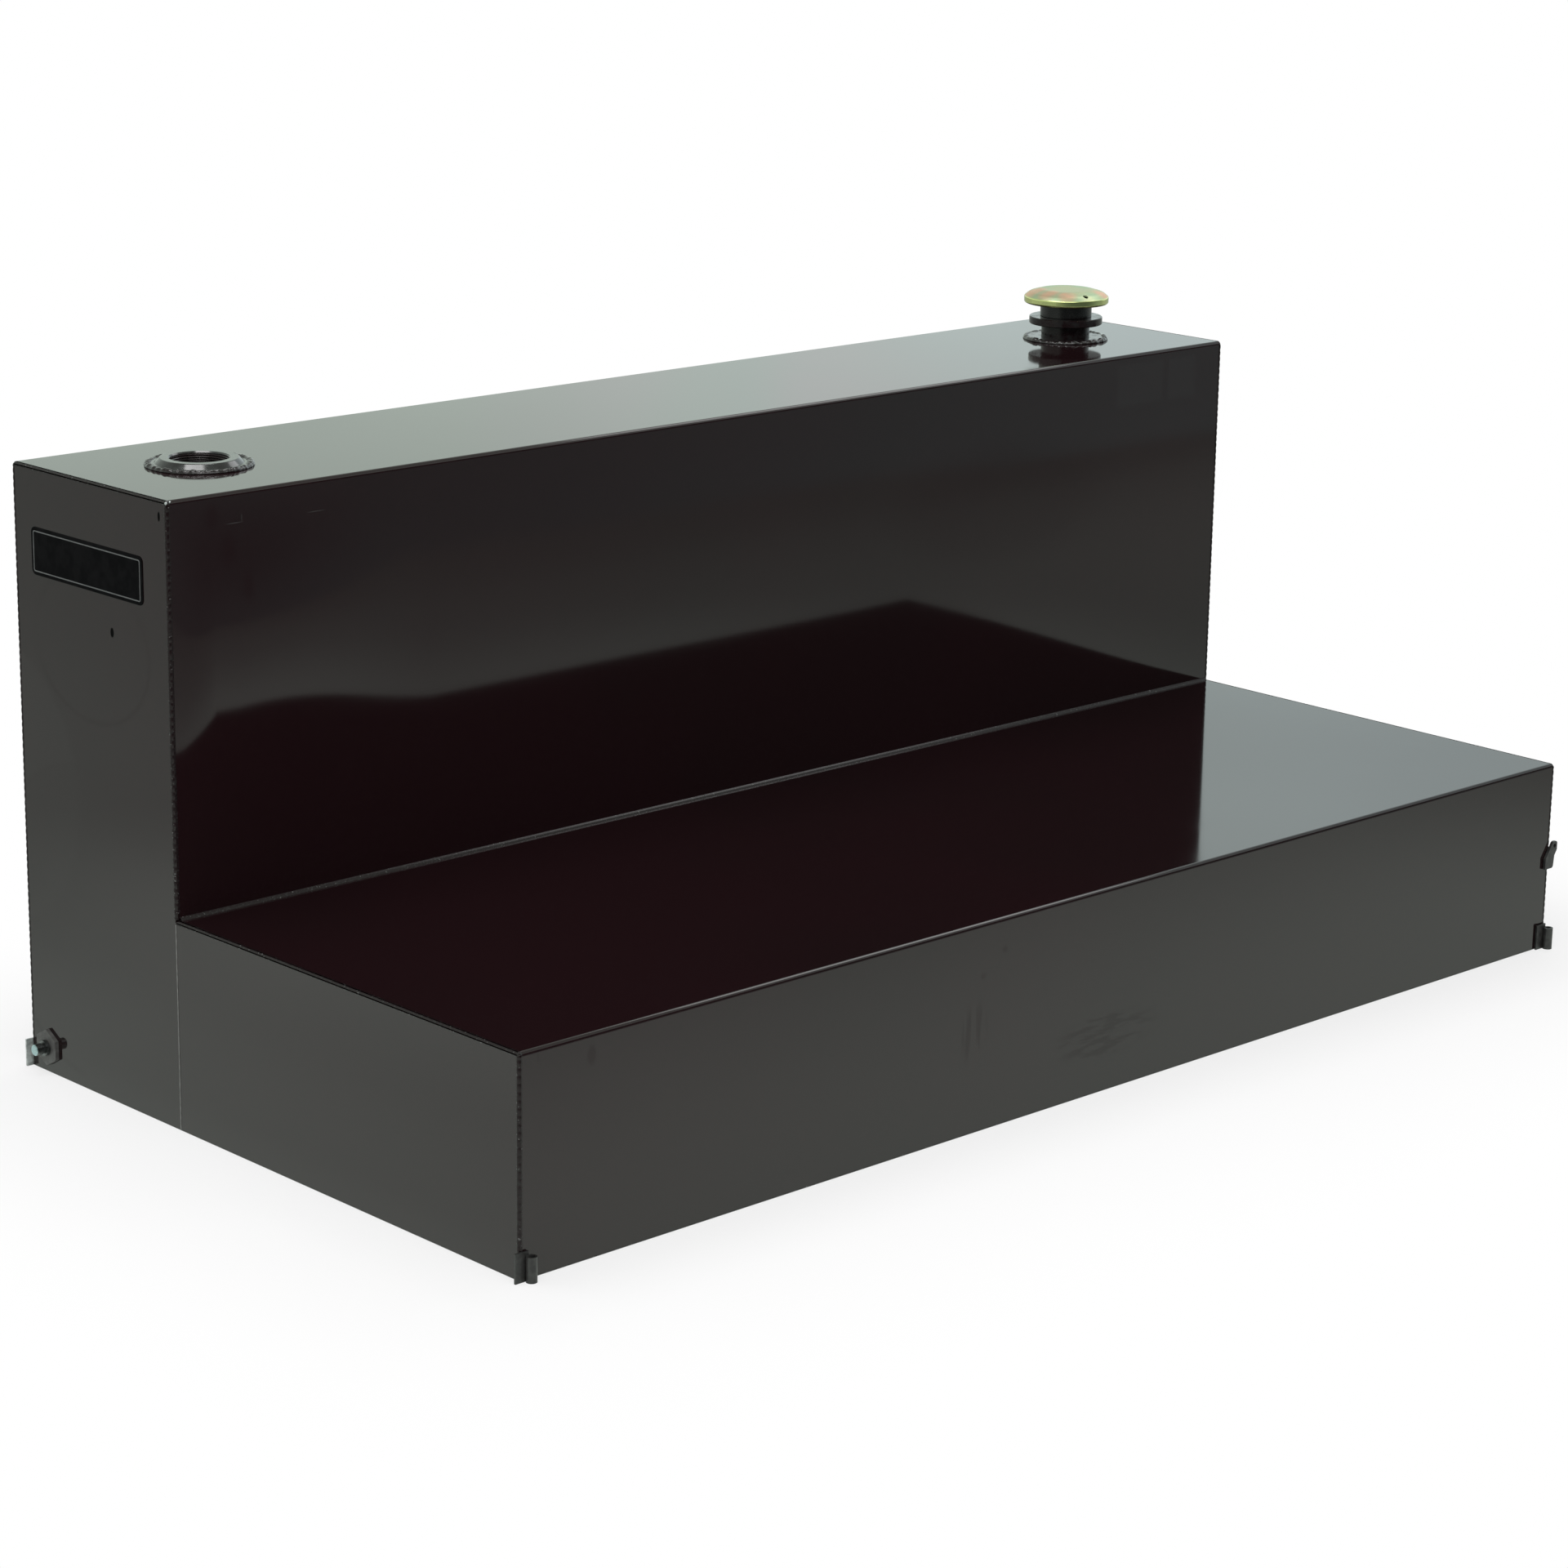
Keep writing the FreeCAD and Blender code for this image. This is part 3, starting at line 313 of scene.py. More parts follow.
def left_end_sheen(shader):
    """Round wiping marks on the left end: thin dull lines and a slightly brighter patch."""
    _, along, upward = shader.axes(shader.place())
    first = shader.product(rim(shader, (LEFT, 0.252, 0.452), (1, 0.094, 0.074), 0.05),
                           shader.span(upward, 0.47, 0.53, 1, 0),
                           shader.span(along, 0.32, 0.36, 1, 0))
    patch = spot(shader, (LEFT, 0.427, 0.290), (1, 0.149, 0.149), 0.05)
    below = spot(shader, (LEFT, 0.270, 0.171), (1, 0.157, 0.157), 0.03)
    second = shader.product(rim(shader, (LEFT, 0.270, 0.171), (1, 0.158, 0.158), 0.022),
                            shader.span(along, 0.27, 0.30, 0, 1))
    patch = shader.product(patch, shader.span(below, 0, 1, 1, 0.5))
    lines = together(shader, first, second)
    brighter = shader.product(patch, 0.11)
    return shader.maths("ADD", shader.product(lines, -0.13), shader.maths("ADD", brighter, 1))


def left_end_marks(shader):
    """A dark run in the paint and a dark fleck beside the upper corner."""
    run = spot(shader, (LEFT, 0.217, 0.472), (1, 3.4 * MM, 5.6 * MM))
    fleck = spot(shader, (LEFT, 0.136, 0.596), (1, 2.2 * MM, 5.5 * MM))
    return together(shader, run, fleck), (0.001, 0.001, 0.001)


def left_end_dull(shader):
    """The same run and fleck take the mirror away."""
    mask, _ = left_end_marks(shader)
    return shader.product(left_end_sheen(shader), shader.span(mask, 0, 1, 1, 0.05))


def scratch_marks(shader):
    """Two fine scratches near the upper left of the tall front wall."""
    first = spot(shader, (-0.660, STEP, 0.582), (13 * MM, 1, 0.6 * MM), 0.7)
    second = spot(shader, (-0.566, STEP, 0.581), (14 * MM, 1, 0.5 * MM), 0.7)
    upright = spot(shader, (-0.652, STEP, 0.586), (0.5 * MM, 1, 5 * MM), 0.7)
    return together(shader, first, second, upright), (0.040, 0.038, 0.037)


def tall_front_sheen(shader):
    """A dull wiped streak at the left, a faint cloud and the trace of a label at the right."""
    streak = together(
        shader,
        spot(shader, (-0.686, STEP, 0.592), (12 * MM, 1, 17 * MM), 0.8),
        spot(shader, (-0.668, STEP, 0.557), (12 * MM, 1, 23 * MM), 0.8),
        spot(shader, (-0.646, STEP, 0.520), (10 * MM, 1, 21 * MM), 0.8),
    )
    cloud = spot(shader, (0.38, STEP, 0.470), (0.21, 1, 0.085), 0.5)
    across, _, upward = shader.axes(shader.place())
    level = shader.product(shader.span(upward, 0.552, 0.556, 0, 1),
                           shader.span(upward, 0.599, 0.603, 1, 0))
    sides = together(
        shader,
        shader.product(shader.span(across, 0.558, 0.563, 0, 1),
                       shader.span(across, 0.634, 0.638, 1, 0)),
        shader.product(shader.span(across, 0.644, 0.648, 0, 1),
                       shader.span(across, 0.690, 0.694, 1, 0)),
    )
    label = shader.product(level, sides)
    dulled = shader.maths("ADD", shader.product(streak, -0.3), shader.product(cloud, -0.1))
    return shader.maths("ADD", shader.maths("ADD", dulled, shader.product(label, 0.16)), 1)


def low_front_sheen(shader):
    """Scuffs on the low front wall: a comb of upright lines, a patch of level smears and
    a few small dull spots."""
    comb_lines = shader.span(shader.grain(190, 1, 0.5, (1, 1, 0.06)), 0.45, 0.58, 0, 1)
    comb_place = spot(shader, (-0.172, FRONT, 0.100), (27 * MM, 1, 45 * MM), 0.7)
    comb = shader.product(comb_place, comb_lines)
    smear_lines = shader.span(shader.grain(95, 3, 0.6, (0.3, 1, 1.6)), 0.42, 0.60, 0, 1)
    smear_place = spot(shader, (0.015, FRONT, 0.060), (96 * MM, 1, 32 * MM), 0.6)
    smears = shader.product(smear_place, smear_lines)
    spots = together(
        shader,
        spot(shader, (-0.654, FRONT, 0.190), (7 * MM, 1, 13 * MM), 0.6),
        spot(shader, (-0.133, FRONT, 0.178), (5 * MM, 1, 5 * MM), 0.6),
        spot(shader, (-0.162, FRONT, 0.157), (5 * MM, 1, 4 * MM), 0.6),
        spot(shader, (-0.715, FRONT, 0.201), (1.2 * MM, 1, 6 * MM), 0.6),
    )
    wiped = shader.span(shader.grain(26, 4, 0.65, (0.3, 1, 2.2)), 0.6, 0.8, 0, 0.3)
    marks = together(shader, comb, smears, spots, wiped)
    return shader.span(marks, 0, 1, 1, 0.80)


def bead_paint():
    """The same paint over rough weld metal, with lighter spots that are partly dust and partly
    painted highlights of the ripples, and a few pale dots that are painted glints.
    """
    shader = Shader("painted_bead")
    # Lighter spots: partly dust, partly painted highlights on the ripples.
    dust = shader.span(shader.grain(260, 4, 0.6), 0.5, 0.75, 0, 1)
    colour = shader.blend(dust, (0.0105, 0.0052, 0.006), (0.020, 0.019, 0.018))
    # Pale dots: painted glints on the bead.
    painted_glints = shader.span(shader.grain(420, 1, 0.5), 0.68, 0.76, 0, 1)
    colour = shader.blend(painted_glints, colour, (0.12, 0.125, 0.12))
    roughness = shader.span(dust, 0, 1, 0.2, 0.36)
    pits = shader.relief(shader.grain(700, 3, 0.6), 0.08 * MM)
    shader.set(Base_Color=colour, Roughness=roughness, IOR=PAINT_IOR, Normal=pits,
               Specular_IOR_Level=0.28)
    return shader.material


def ring_bead_paint():
    """Glossier paint on the lumpy beads round the two fittings."""
    shader = Shader("painted_ring_bead")
    tone = shader.span(shader.grain(300, 3, 0.6), 0.45, 0.7, 0, 1)
    colour = shader.blend(tone, (0.0105, 0.0052, 0.006), (0.018, 0.017, 0.017))
    roughness = shader.span(tone, 0, 1, 0.14, 0.24)
    pits = shader.relief(shader.grain(330, 2, 0.6), 0.22 * MM)
    shader.set(Base_Color=colour, Roughness=roughness, IOR=PAINT_IOR, Normal=pits)
    return shader.material


def fitting_paint():
    """Paint on the turned fittings, dulled by overspray and spatter."""
    shader = Shader("painted_fitting")
    tone = shader.span(shader.grain(120, 3, 0.6), 0.4, 0.7, 0, 1)
    colour = shader.blend(tone, (0.0105, 0.0052, 0.006), (0.016, 0.015, 0.015))
    roughness = shader.span(tone, 0, 1, 0.12, 0.26)
    skin = shader.relief(shader.grain(380, 3, 0.6), 0.1 * MM)
    shader.set(Base_Color=colour, Roughness=roughness, IOR=PAINT_IOR, Normal=skin,
               Specular_IOR_Level=0.3)
    return shader.material


def bung_paint():
    """Smooth thick paint on the pump bung, a little cloudy."""
    shader = Shader("painted_bung")
    tone = shader.span(shader.grain(70, 3, 0.6), 0.4, 0.7, 0, 1)
    colour = shader.blend(tone, (0.014, 0.012, 0.012), (0.026, 0.028, 0.027))
    roughness = shader.span(tone, 0, 1, 0.14, 0.20)
    skin = shader.relief(shader.grain(110, 2, 0.5), 0.05 * MM)
    shader.set(Base_Color=colour, Roughness=roughness, IOR=1.6, Normal=skin)
    return shader.material


def strap_paint(name="painted_strap", dark=(0.016, 0.015, 0.015), light=(0.040, 0.040, 0.038),
                shine=0.5):
    """Thick, soft looking paint on the small straps, the tab and the drain bung. The grey colours
    given to the drain bung, the rear left strap and the seams are painted light: a reflection, a lit
    side and a highlight.
    """
    shader = Shader(name)
    tone = shader.span(shader.grain(160, 3, 0.6), 0.35, 0.7, 0, 1)
    colour = shader.blend(tone, dark, light)
    roughness = shader.span(shader.grain(500, 3, 0.6), 0.3, 0.7, 0.34, 0.5)
    skin = shader.relief(shader.grain(420, 3, 0.6), 0.12 * MM)
    shader.set(Base_Color=colour, Roughness=roughness, IOR=PAINT_IOR, Normal=skin,
               Specular_IOR_Level=shine)
    return shader.material


def plug_zinc():
    """Zinc plug: its outer face is clean and bright, the rest is dulled by paint mist."""
    shader = Shader("plug_zinc")
    across, _, _ = shader.axes(shader.place())
    mist = shader.span(shader.grain(260, 3, 0.6), 0.35, 0.65, 0, 1)
    dull = shader.blend(mist, (0.10, 0.10, 0.10), (0.17, 0.18, 0.18))
    face = shader.span(across, PLUG_FACE + 0.5 * MM, PLUG_FACE + 1.1 * MM, 1, 0)
    fine = shader.grain(900, 3, 0.6)
    roughness = shader.span(fine, 0.3, 0.7, 0.25, 0.4)
    shader.set(Base_Color=shader.blend(face, dull, (0.40, 0.52, 0.55)), Metallic=1,
               Roughness=roughness, Normal=shader.relief(fine, 0.03 * MM))
    return shader.material


def yellow_zinc():
    """Yellow passivated zinc: grey-green in the middle, pink and straw blushes on the
    shoulder and an olive rim that is glossier than the rest."""
    shader = Shader("yellow_zinc")
    middle = NECK_AXIS.x, NECK_AXIS.y, TOP + 55 * MM
    clouds = shader.span(shader.grain(24, 2, 0.5), 0.38, 0.6, 0, 1)
    green = shader.blend(clouds, (0.43, 0.55, 0.36), (0.53, 0.54, 0.34))
    places = ((-32, 20, 22), (-35, -5, 18), (-28, -26, 15), (21, -37, 16))
    blushes = together(shader, *(
        spot(shader, (middle[0] + across * MM, middle[1] + along * MM, middle[2]),
             (radius * MM, radius * MM, 1), 0.75)
        for across, along, radius in places
    ))
    blush = shader.product(blushes, shader.span(shader.grain(60, 2, 0.5), 0.3, 0.55, 0.6, 1))
    colour = shader.blend(blush, green, (0.76, 0.48, 0.33))
    _, _, upward = shader.axes(shader.place())
    shoulder = shader.span(upward, TOP + DISC_RIM_LOW, TOP + DISC_RIM_HIGH, 0, 1)
    colour = shader.blend(shoulder, (0.70, 0.74, 0.32), colour)
    fine = shader.span(shader.grain(300, 4, 0.6), 0.3, 0.7, 0, 0.08)
    roughness = shader.maths("ADD", fine, shader.span(shoulder, 0, 1, 0.13, 0.42))
    brushed = shader.relief(shader.grain(900, 2, 0.5), 0.008 * MM)
    shader.set(Base_Color=colour, Metallic=1, Roughness=roughness, Normal=brushed)
    return shader.material


def printed_plate():
    """Matt black print of the nameplate, which takes little of the light around it."""
    shader = Shader("nameplate_black")
    tone = shader.span(shader.grain(70, 3, 0.6), 0.35, 0.65, 0, 1)
    fine = shader.grain(1200, 3, 0.6)
    roughness = shader.span(fine, 0.3, 0.7, 0.3, 0.42)
    shader.set(Base_Color=shader.blend(tone, (0.003, 0.003, 0.0035), (0.006, 0.006, 0.0065)),
               Roughness=roughness, Specular_IOR_Level=0.015, Normal=shader.relief(fine, 0.01 * MM))
    return shader.material


def metal(name, light, dark, gloss, grain_scale, stretch=(1, 1, 1)):
    """Bare or plated metal: a cloudy tone, a fine grain and uneven gloss."""
    shader = Shader(name)
    tone = shader.span(shader.grain(60, 4, 0.6), 0.35, 0.65, 0, 1)
    fine = shader.grain(grain_scale, 3, 0.6, stretch)
    roughness = shader.span(fine, 0.3, 0.7, gloss, gloss + 0.15)
    shader.set(Base_Color=shader.blend(tone, dark, light), Metallic=1, Roughness=roughness,
               Normal=shader.relief(fine, 0.02 * MM))
    return shader.material


def moulded(name, light, dark, gloss, grain_scale, depth):
    """Plastic, rubber or satin paint: fine moulded grain with a cloudy tone."""
    shader = Shader(name)
    tone = shader.span(shader.grain(90, 3, 0.6), 0.35, 0.65, 0, 1)
    fine = shader.grain(grain_scale, 3, 0.6)
    roughness = shader.span(fine, 0.3, 0.7, gloss, gloss + 0.12)
    shader.set(Base_Color=shader.blend(tone, dark, light), Roughness=roughness,
               Normal=shader.relief(fine, depth))
    return shader.material


def dress_nodes(sheet_paint, beads):
    """Gives every CAD node its material."""
    hub = moulded("black_cap", (0.014, 0.013, 0.013), (0.008, 0.007, 0.007), 0.2, 900, 0.03 * MM)
    rubber = moulded("seal_rubber", (0.030, 0.030, 0.031), (0.020, 0.020, 0.020), 0.6, 1400,
                     0.05 * MM)
    valve = moulded("valve_plastic", (0.78, 0.76, 0.68), (0.70, 0.67, 0.58), 0.4, 900, 0.02 * MM)
    zinc = metal("bright_zinc", (0.47, 0.60, 0.63), (0.38, 0.50, 0.53), 0.2, 800)
    bare = metal("bare_steel", (0.46, 0.46, 0.45), (0.34, 0.33, 0.32), 0.28, 500, (0.2, 1, 1))
    strap = strap_paint()
    # Seams: their light grey is a painted highlight along the seam line.
    seam = strap_paint("seam_painted_highlight", (0.10, 0.10, 0.095), (0.20, 0.20, 0.19))
    finish = {
        "tall_wrapper": paint("tall_wrapper_paint", buckle=wall_buckle, marks=scratch_marks,
                              sheen=tall_front_sheen),
        "low_wrapper": paint("low_wrapper_paint", sheen=low_front_sheen),
        "left_end_tall": paint("left_end_paint", marks=left_end_marks, sheen=left_end_dull),
        "filler_neck": fitting_paint(),
        "pump_bung": bung_paint(),
        # Drain hexagon: its grey is a painted reflection of the room in the black paint.
        "drain_bung": strap_paint("hexagon_painted_reflection", (0.070, 0.069, 0.066), (0.11, 0.11, 0.105), 0.3),
        # Rear left strap: its pale grey is painted light on its lit side, not the colour of its black
        # paint.
        "clip_rear_left": strap_paint("strap_painted_lit_side", (0.26, 0.29, 0.28), (0.55, 0.60, 0.58)),
        "weld_left_seam": seam,
        "weld_right_seam": seam,
        "ground_tab": strap,
        "baffle_left": bare,
        "baffle_right": bare,
        "cap_disc": yellow_zinc(),
        "cap_hub": hub,
        "cap_gasket": rubber,
        "vent_cage": zinc,
        "vent_valve": valve,
        "vent_spring": metal("spring_steel", (0.58, 0.58, 0.60), (0.44, 0.44, 0.46), 0.22, 900),
        "drain_plug": plug_zinc(),
    }
    for name, node in nodes.items():
        if name in finish:
            dress(node, finish[name])
        elif name.startswith("weld_"):
            dress(node, beads)
        elif name.startswith("clip_"):
            dress(node, strap)
        else:
            dress(node, sheet_paint)


# Mesh helpers
def mesh_object(name, points, faces, material, smooth=True):
    """A new piece from points and faces."""
    data = bpy.data.meshes.new(name)
    data.from_pydata([tuple(point) for point in points], [], faces)
    data.validate()
    data.materials.append(material)
    if smooth:
        data.shade_smooth()
    piece = bpy.data.objects.new(name, data)
    bpy.context.scene.collection.objects.link(piece)
    return piece


def skin_rings(name, rings, material, closed=False):
    """Skin over a row of closed sections, with flat ends unless the row is closed."""
    count = len(rings[0])
    points = [point for ring in rings for point in ring]
    spans = len(rings) if closed else len(rings) - 1
    faces = []
    for index in range(spans):
        here, there = index * count, (index + 1) % len(rings) * count
        for corner in range(count):
            following = (corner + 1) % count
            faces.append((here + corner, there + corner, there + following, here + following))
    if not closed:
        faces.append(tuple(range(count)))
        faces.append(tuple(reversed(range(spans * count, (spans + 1) * count))))
    return mesh_object(name, points, faces, material)


# Weld beads
RIPPLE_PITCH = 7.2 * MM
RIPPLE_STEPS = 8
CORNER_STEPS = 8
CROWN_POINTS = 9
RIPPLE_HEIGHT = 0.45 * MM
TOE_WANDER = 0.4 * MM
CROWN_PROUD = 0.4 * MM
CROWN_FLUSH = 0.95 * MM


def ripple(along, seed):
    """Height share of a stacked weld ripple: round crests with sharp valleys."""
    drift = noise.noise(Vector((along * 40, seed, 0))) * 0.25
    share = (along / RIPPLE_PITCH + drift) % 1
    return 1 - (2 * share - 1) ** 2


def edge_path(corners, radius):
    """Points along a path in the YZ plane whose inner corners are rounded, each with the
    direction that faces out of the tank there and the distance along the path."""
    stations = []
    along = 0
    for index, (start, end, outward) in enumerate(corners):
        run = (end - start).length
        steps = max(2, round(run / (RIPPLE_PITCH / RIPPLE_STEPS)))
        for step in range(steps):
            stations.append((start.lerp(end, step / steps), outward, along + run * step / steps))
        along += run
        if index == len(corners) - 1:
            stations.append((end, outward, along))
            break
        next_outward = corners[index + 1][2]
        centre = end - outward * radius
        for step in range(CORNER_STEPS):
            turn = math.pi / 2 * step / CORNER_STEPS
            facing = outward * math.cos(turn) + next_outward * math.sin(turn)
            stations.append((centre + facing * radius, facing, along + radius * turn))
        along += radius * math.pi / 2
    return stations


def bead_ring(station, side, seed):
    """Section of an edge bead: two sheet edges behind, a round crown in front. The crown
    is rippled and proud on upright corners, smooth and nearly flush on level ones."""
    place, outward, along = station
    upright = 1 - abs(outward.z)
    inward = Vector((-side, 0, 0))
    wander = TOE_WANDER * (0.3 + 0.7 * upright)
    reach = SHEET + BEAD_LAP + wander * noise.noise(Vector((along * 55, seed, 3)))
    crown = CROWN_FLUSH + (CROWN_PROUD - CROWN_FLUSH) * upright
    middle = (reach ** 2 - 2 * crown ** 2) / (2 * reach - 4 * crown)
    radius = math.sqrt(2) * (middle - crown)
    first = math.atan2(-middle, reach - middle)
    last = -math.pi / 2 - (first + math.pi)
    ring = [place + inward * SHEET - outward * SHEET, place + inward * SHEET]
    for index in range(CROWN_POINTS):
        share = index / (CROWN_POINTS - 1)
        turn = first + (last - first) * share
        chevron = RIPPLE_PITCH * 0.18 * (2 * share - 1) ** 2
        valley = RIPPLE_HEIGHT * (0.1 + 0.9 * upright) * (1 - ripple(along + chevron, seed))
        lowered = radius - valley * math.sin(math.pi * share)
        inwards, downwards = middle + lowered * math.cos(turn), middle + lowered * math.sin(turn)
        ring.append(place + inward * inwards - outward * downwards)
    ring.append(place - outward * SHEET)
    return ring


def edge_beads(material):
    """Rippled beads on the open corners of both ends. Each run has its start and end in
    the YZ plane and the direction that faces out of the tank."""
    backward, upward, forward = Vector((0, 1, 0)), Vector((0, 0, 1)), Vector((0, -1, 0))
    runs = {
        "tall": [
            ((BACK, SHEET), (BACK, TOP - FOLD_RADIUS), backward),
            ((BACK - FOLD_RADIUS, TOP), (STEP + FOLD_RADIUS, TOP), upward),
            ((STEP, TOP - FOLD_RADIUS), (STEP, DECK + BEAD_FOOT), forward),
        ],
        "low": [
            ((FRONT, SHEET), (FRONT, DECK - FOLD_RADIUS), forward),
            ((FRONT + FOLD_RADIUS, DECK), (STEP + SHEET, DECK), upward),
        ],
    }
    for side, name in ((-1, "left"), (1, "right")):
        for level, seed in (("tall", 11 * side + 3), ("low", 11 * side + 5)):
            corners = [(Vector((side * RIGHT, *start)), Vector((side * RIGHT, *end)), outward)
                       for start, end, outward in runs[level]]
            rings = [bead_ring(station, side, seed) for station in edge_path(corners, FOLD_RADIUS)]
            piece = skin_rings(f"bead_{name}_{level}", rings, material)
            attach(piece, "tank")
            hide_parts(f"weld_{name}_{level}")


def ring_bead(name, node, axis, inner_radius, material):
    """Lumpy fillet bead that laps over the edge of a flange, with uneven ripples."""
    width, rise_most = 4 * MM, 4.2 * MM
    pitch = 8.5 * MM
    centre = Vector((axis.x, axis.y, TOP))
    steps = round(2 * math.pi * inner_radius / pitch) * RIPPLE_STEPS
    profile = [(-1.0, 0.1), (0, 0), (1, 0), (0.97, 0.28), (0.80, 0.62), (0.45, 0.92),
               (0.0, 1.0), (-0.45, 0.88), (-0.85, 0.6)]
    rings = []
    for step in range(steps):
        turn = 2 * math.pi * step / steps
        facing = Vector((math.cos(turn), math.sin(turn), 0))
        lump = noise.noise(facing * 4 + Vector((0, 0, inner_radius * 1000)))
        knob = noise.noise(facing * 13 + Vector((3, 0, inner_radius * 700)))
        crest = 1 - (2 * ((step / RIPPLE_STEPS + 1.6 * lump) % 1) - 1) ** 2
        spread = width * (0.92 + 0.16 * lump + 0.06 * crest + 0.14 * knob)
        rise = rise_most * (0.82 + 0.24 * lump + 0.12 * crest + 0.26 * knob)
        rings.append([centre + facing * (inner_radius + spread * out) + Vector((0, 0, rise * high))
                      for out, high in profile])
    piece = skin_rings(name, rings, material, closed=True)
    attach(piece, "tank")
    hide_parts(node)


def knot(name, place, size, material):
    """Small uneven blob of weld metal where two beads meet."""
    around, levels = 16, 9
    rings = []
    for level in range(1, levels):
        tilt = math.pi * level / levels
        ring = []
        for step in range(around):
            turn = 2 * math.pi * step / around
            level_out = math.sin(tilt)
            facing = Vector((level_out * math.cos(turn), level_out * math.sin(turn), math.cos(tilt)))
            swell = 1 + 0.3 * noise.noise(facing * 1.6 + place * 90)
            ring.append(place + facing * size * swell)
        rings.append(ring)
    piece = skin_rings(name, rings, material)
    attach(piece, "tank")
    return piece


def corner_knots(material, bright_spots):
    """Bead ends at the upper corners of the left end, and two small blobs of bright metal beside the
    upper one.
    """
    inset = 1.3 * MM
    for corner, along, upward in (("step", STEP, TOP), ("front", FRONT, DECK)):
        place = Vector((LEFT + inset, along + inset, upward - inset))
        knot(f"knot_{corner}", place, 1.9 * MM, material)
    # Two small blobs of near white metal at the upper corner.
    for index, (across, down, size) in enumerate(((0.6, 1.9, 1.5), (4.6, 1.3, 1.1))):
        place = Vector((LEFT + across * MM, STEP + 0.7 * MM, TOP - down * MM))
        knot(f"bright_spot_{index}", place, size * MM, bright_spots)


def thread(name, axis, low, high, radius, pitch, depth, material):
    """Screw thread of the tank as a ridge wound on a round wall between two heights above
    the top. Depth is negative on a bore."""
    around = 72
    steps = round((high - low - pitch) / pitch * around)
    root = 0.1 * MM * (1 if depth < 0 else -1)
    half = pitch * 0.42
    rings = []
    for step in range(steps + 1):
        turn = 2 * math.pi * step / around
        fade = min(1, step / around, (steps - step) / around)
        facing = Vector((math.cos(turn), math.sin(turn), 0))
        centre = Vector((axis.x, axis.y, TOP + low + pitch * (0.5 + step / around)))
        crest = depth * max(fade, 0.05)
        rings.append([
            centre + facing * (radius + root) + Vector((0, 0, -half)),
            centre + facing * (radius + crest) + Vector((0, 0, -half * 0.2)),
            centre + facing * (radius + crest) + Vector((0, 0, half * 0.2)),
            centre + facing * (radius + root) + Vector((0, 0, half)),
        ])
    piece = skin_rings(name, rings, material)
    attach(piece, "tank")


def valve_spring():
    """A copy of the vent's spring with its placement baked in, shown in place of the CAD node."""
    spring = bpy.data.objects.new("valve_spring", nodes["vent_spring"].data.copy())
    bpy.context.scene.collection.objects.link(spring)
    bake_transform(spring)
    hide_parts("vent_spring")


# Nameplate
def rounded_outline(middle, half_width, half_height, radius):
    """Corner-rounded rectangle in the plane of the left end, as points."""
    points = []
    for turn_start, sign_y, sign_z in ((0, 1, 1), (90, -1, 1), (180, -1, -1), (270, 1, -1)):
        for step in range(7):
            turn = math.radians(turn_start + step * 15)
            points.append(middle + Vector((
                0,
                sign_y * (half_width - radius) + radius * math.cos(turn),
                sign_z * (half_height - radius) + radius * math.sin(turn),
            )))
    return points


def nameplate():
    """Bare black plate with a raised grey border line, stuck on the left end."""
    middle = Vector((LEFT, 0.256, 0.530))
    half_width, half_height, radius = 92 * MM, 23.5 * MM, 6 * MM
    thick, edge = 0.9 * MM, 0.35 * MM
    inset, width, rise = 3.4 * MM, 1.1 * MM, 0.12 * MM
    levels = [
        (0, 0),
        (thick - edge, 0),
        (thick, edge),
        (thick, inset),
        (thick + rise, inset + 0.1 * MM),
        (thick + rise, inset + width),
        (thick, inset + width + 0.1 * MM),
    ]
    rings = []
    for height, step_in in levels:
        lifted = middle + Vector((-height, 0, 0))
        corner = max(radius - step_in, 1 * MM)
        rings.append(rounded_outline(lifted, half_width - step_in, half_height - step_in, corner))
    piece = skin_rings("nameplate", rings, printed_plate())
    border = moulded("nameplate_border", (0.115, 0.12, 0.12), (0.085, 0.09, 0.09), 0.3, 900,
                     0.01 * MM)
    piece.data.materials.append(border)
    count = len(rings[0])
    for index, face in enumerate(piece.data.polygons):
        level = index // count
        face.use_smooth = level < 2
        if level in (3, 4, 5) and len(face.vertices) == 4:
            face.material_index = 1
    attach(piece, "tank")


# Studio
def ray_kinds(tree):
    """1 for the rays that look at the background: seen directly or through glass, and
    seen in a mirror."""
    rays = tree.node("ShaderNodeLightPath").outputs
    direct = tree.maths("MAXIMUM", rays["Is Camera Ray"], rays["Is Transmission Ray"])
    return direct, rays["Is Glossy Ray"]


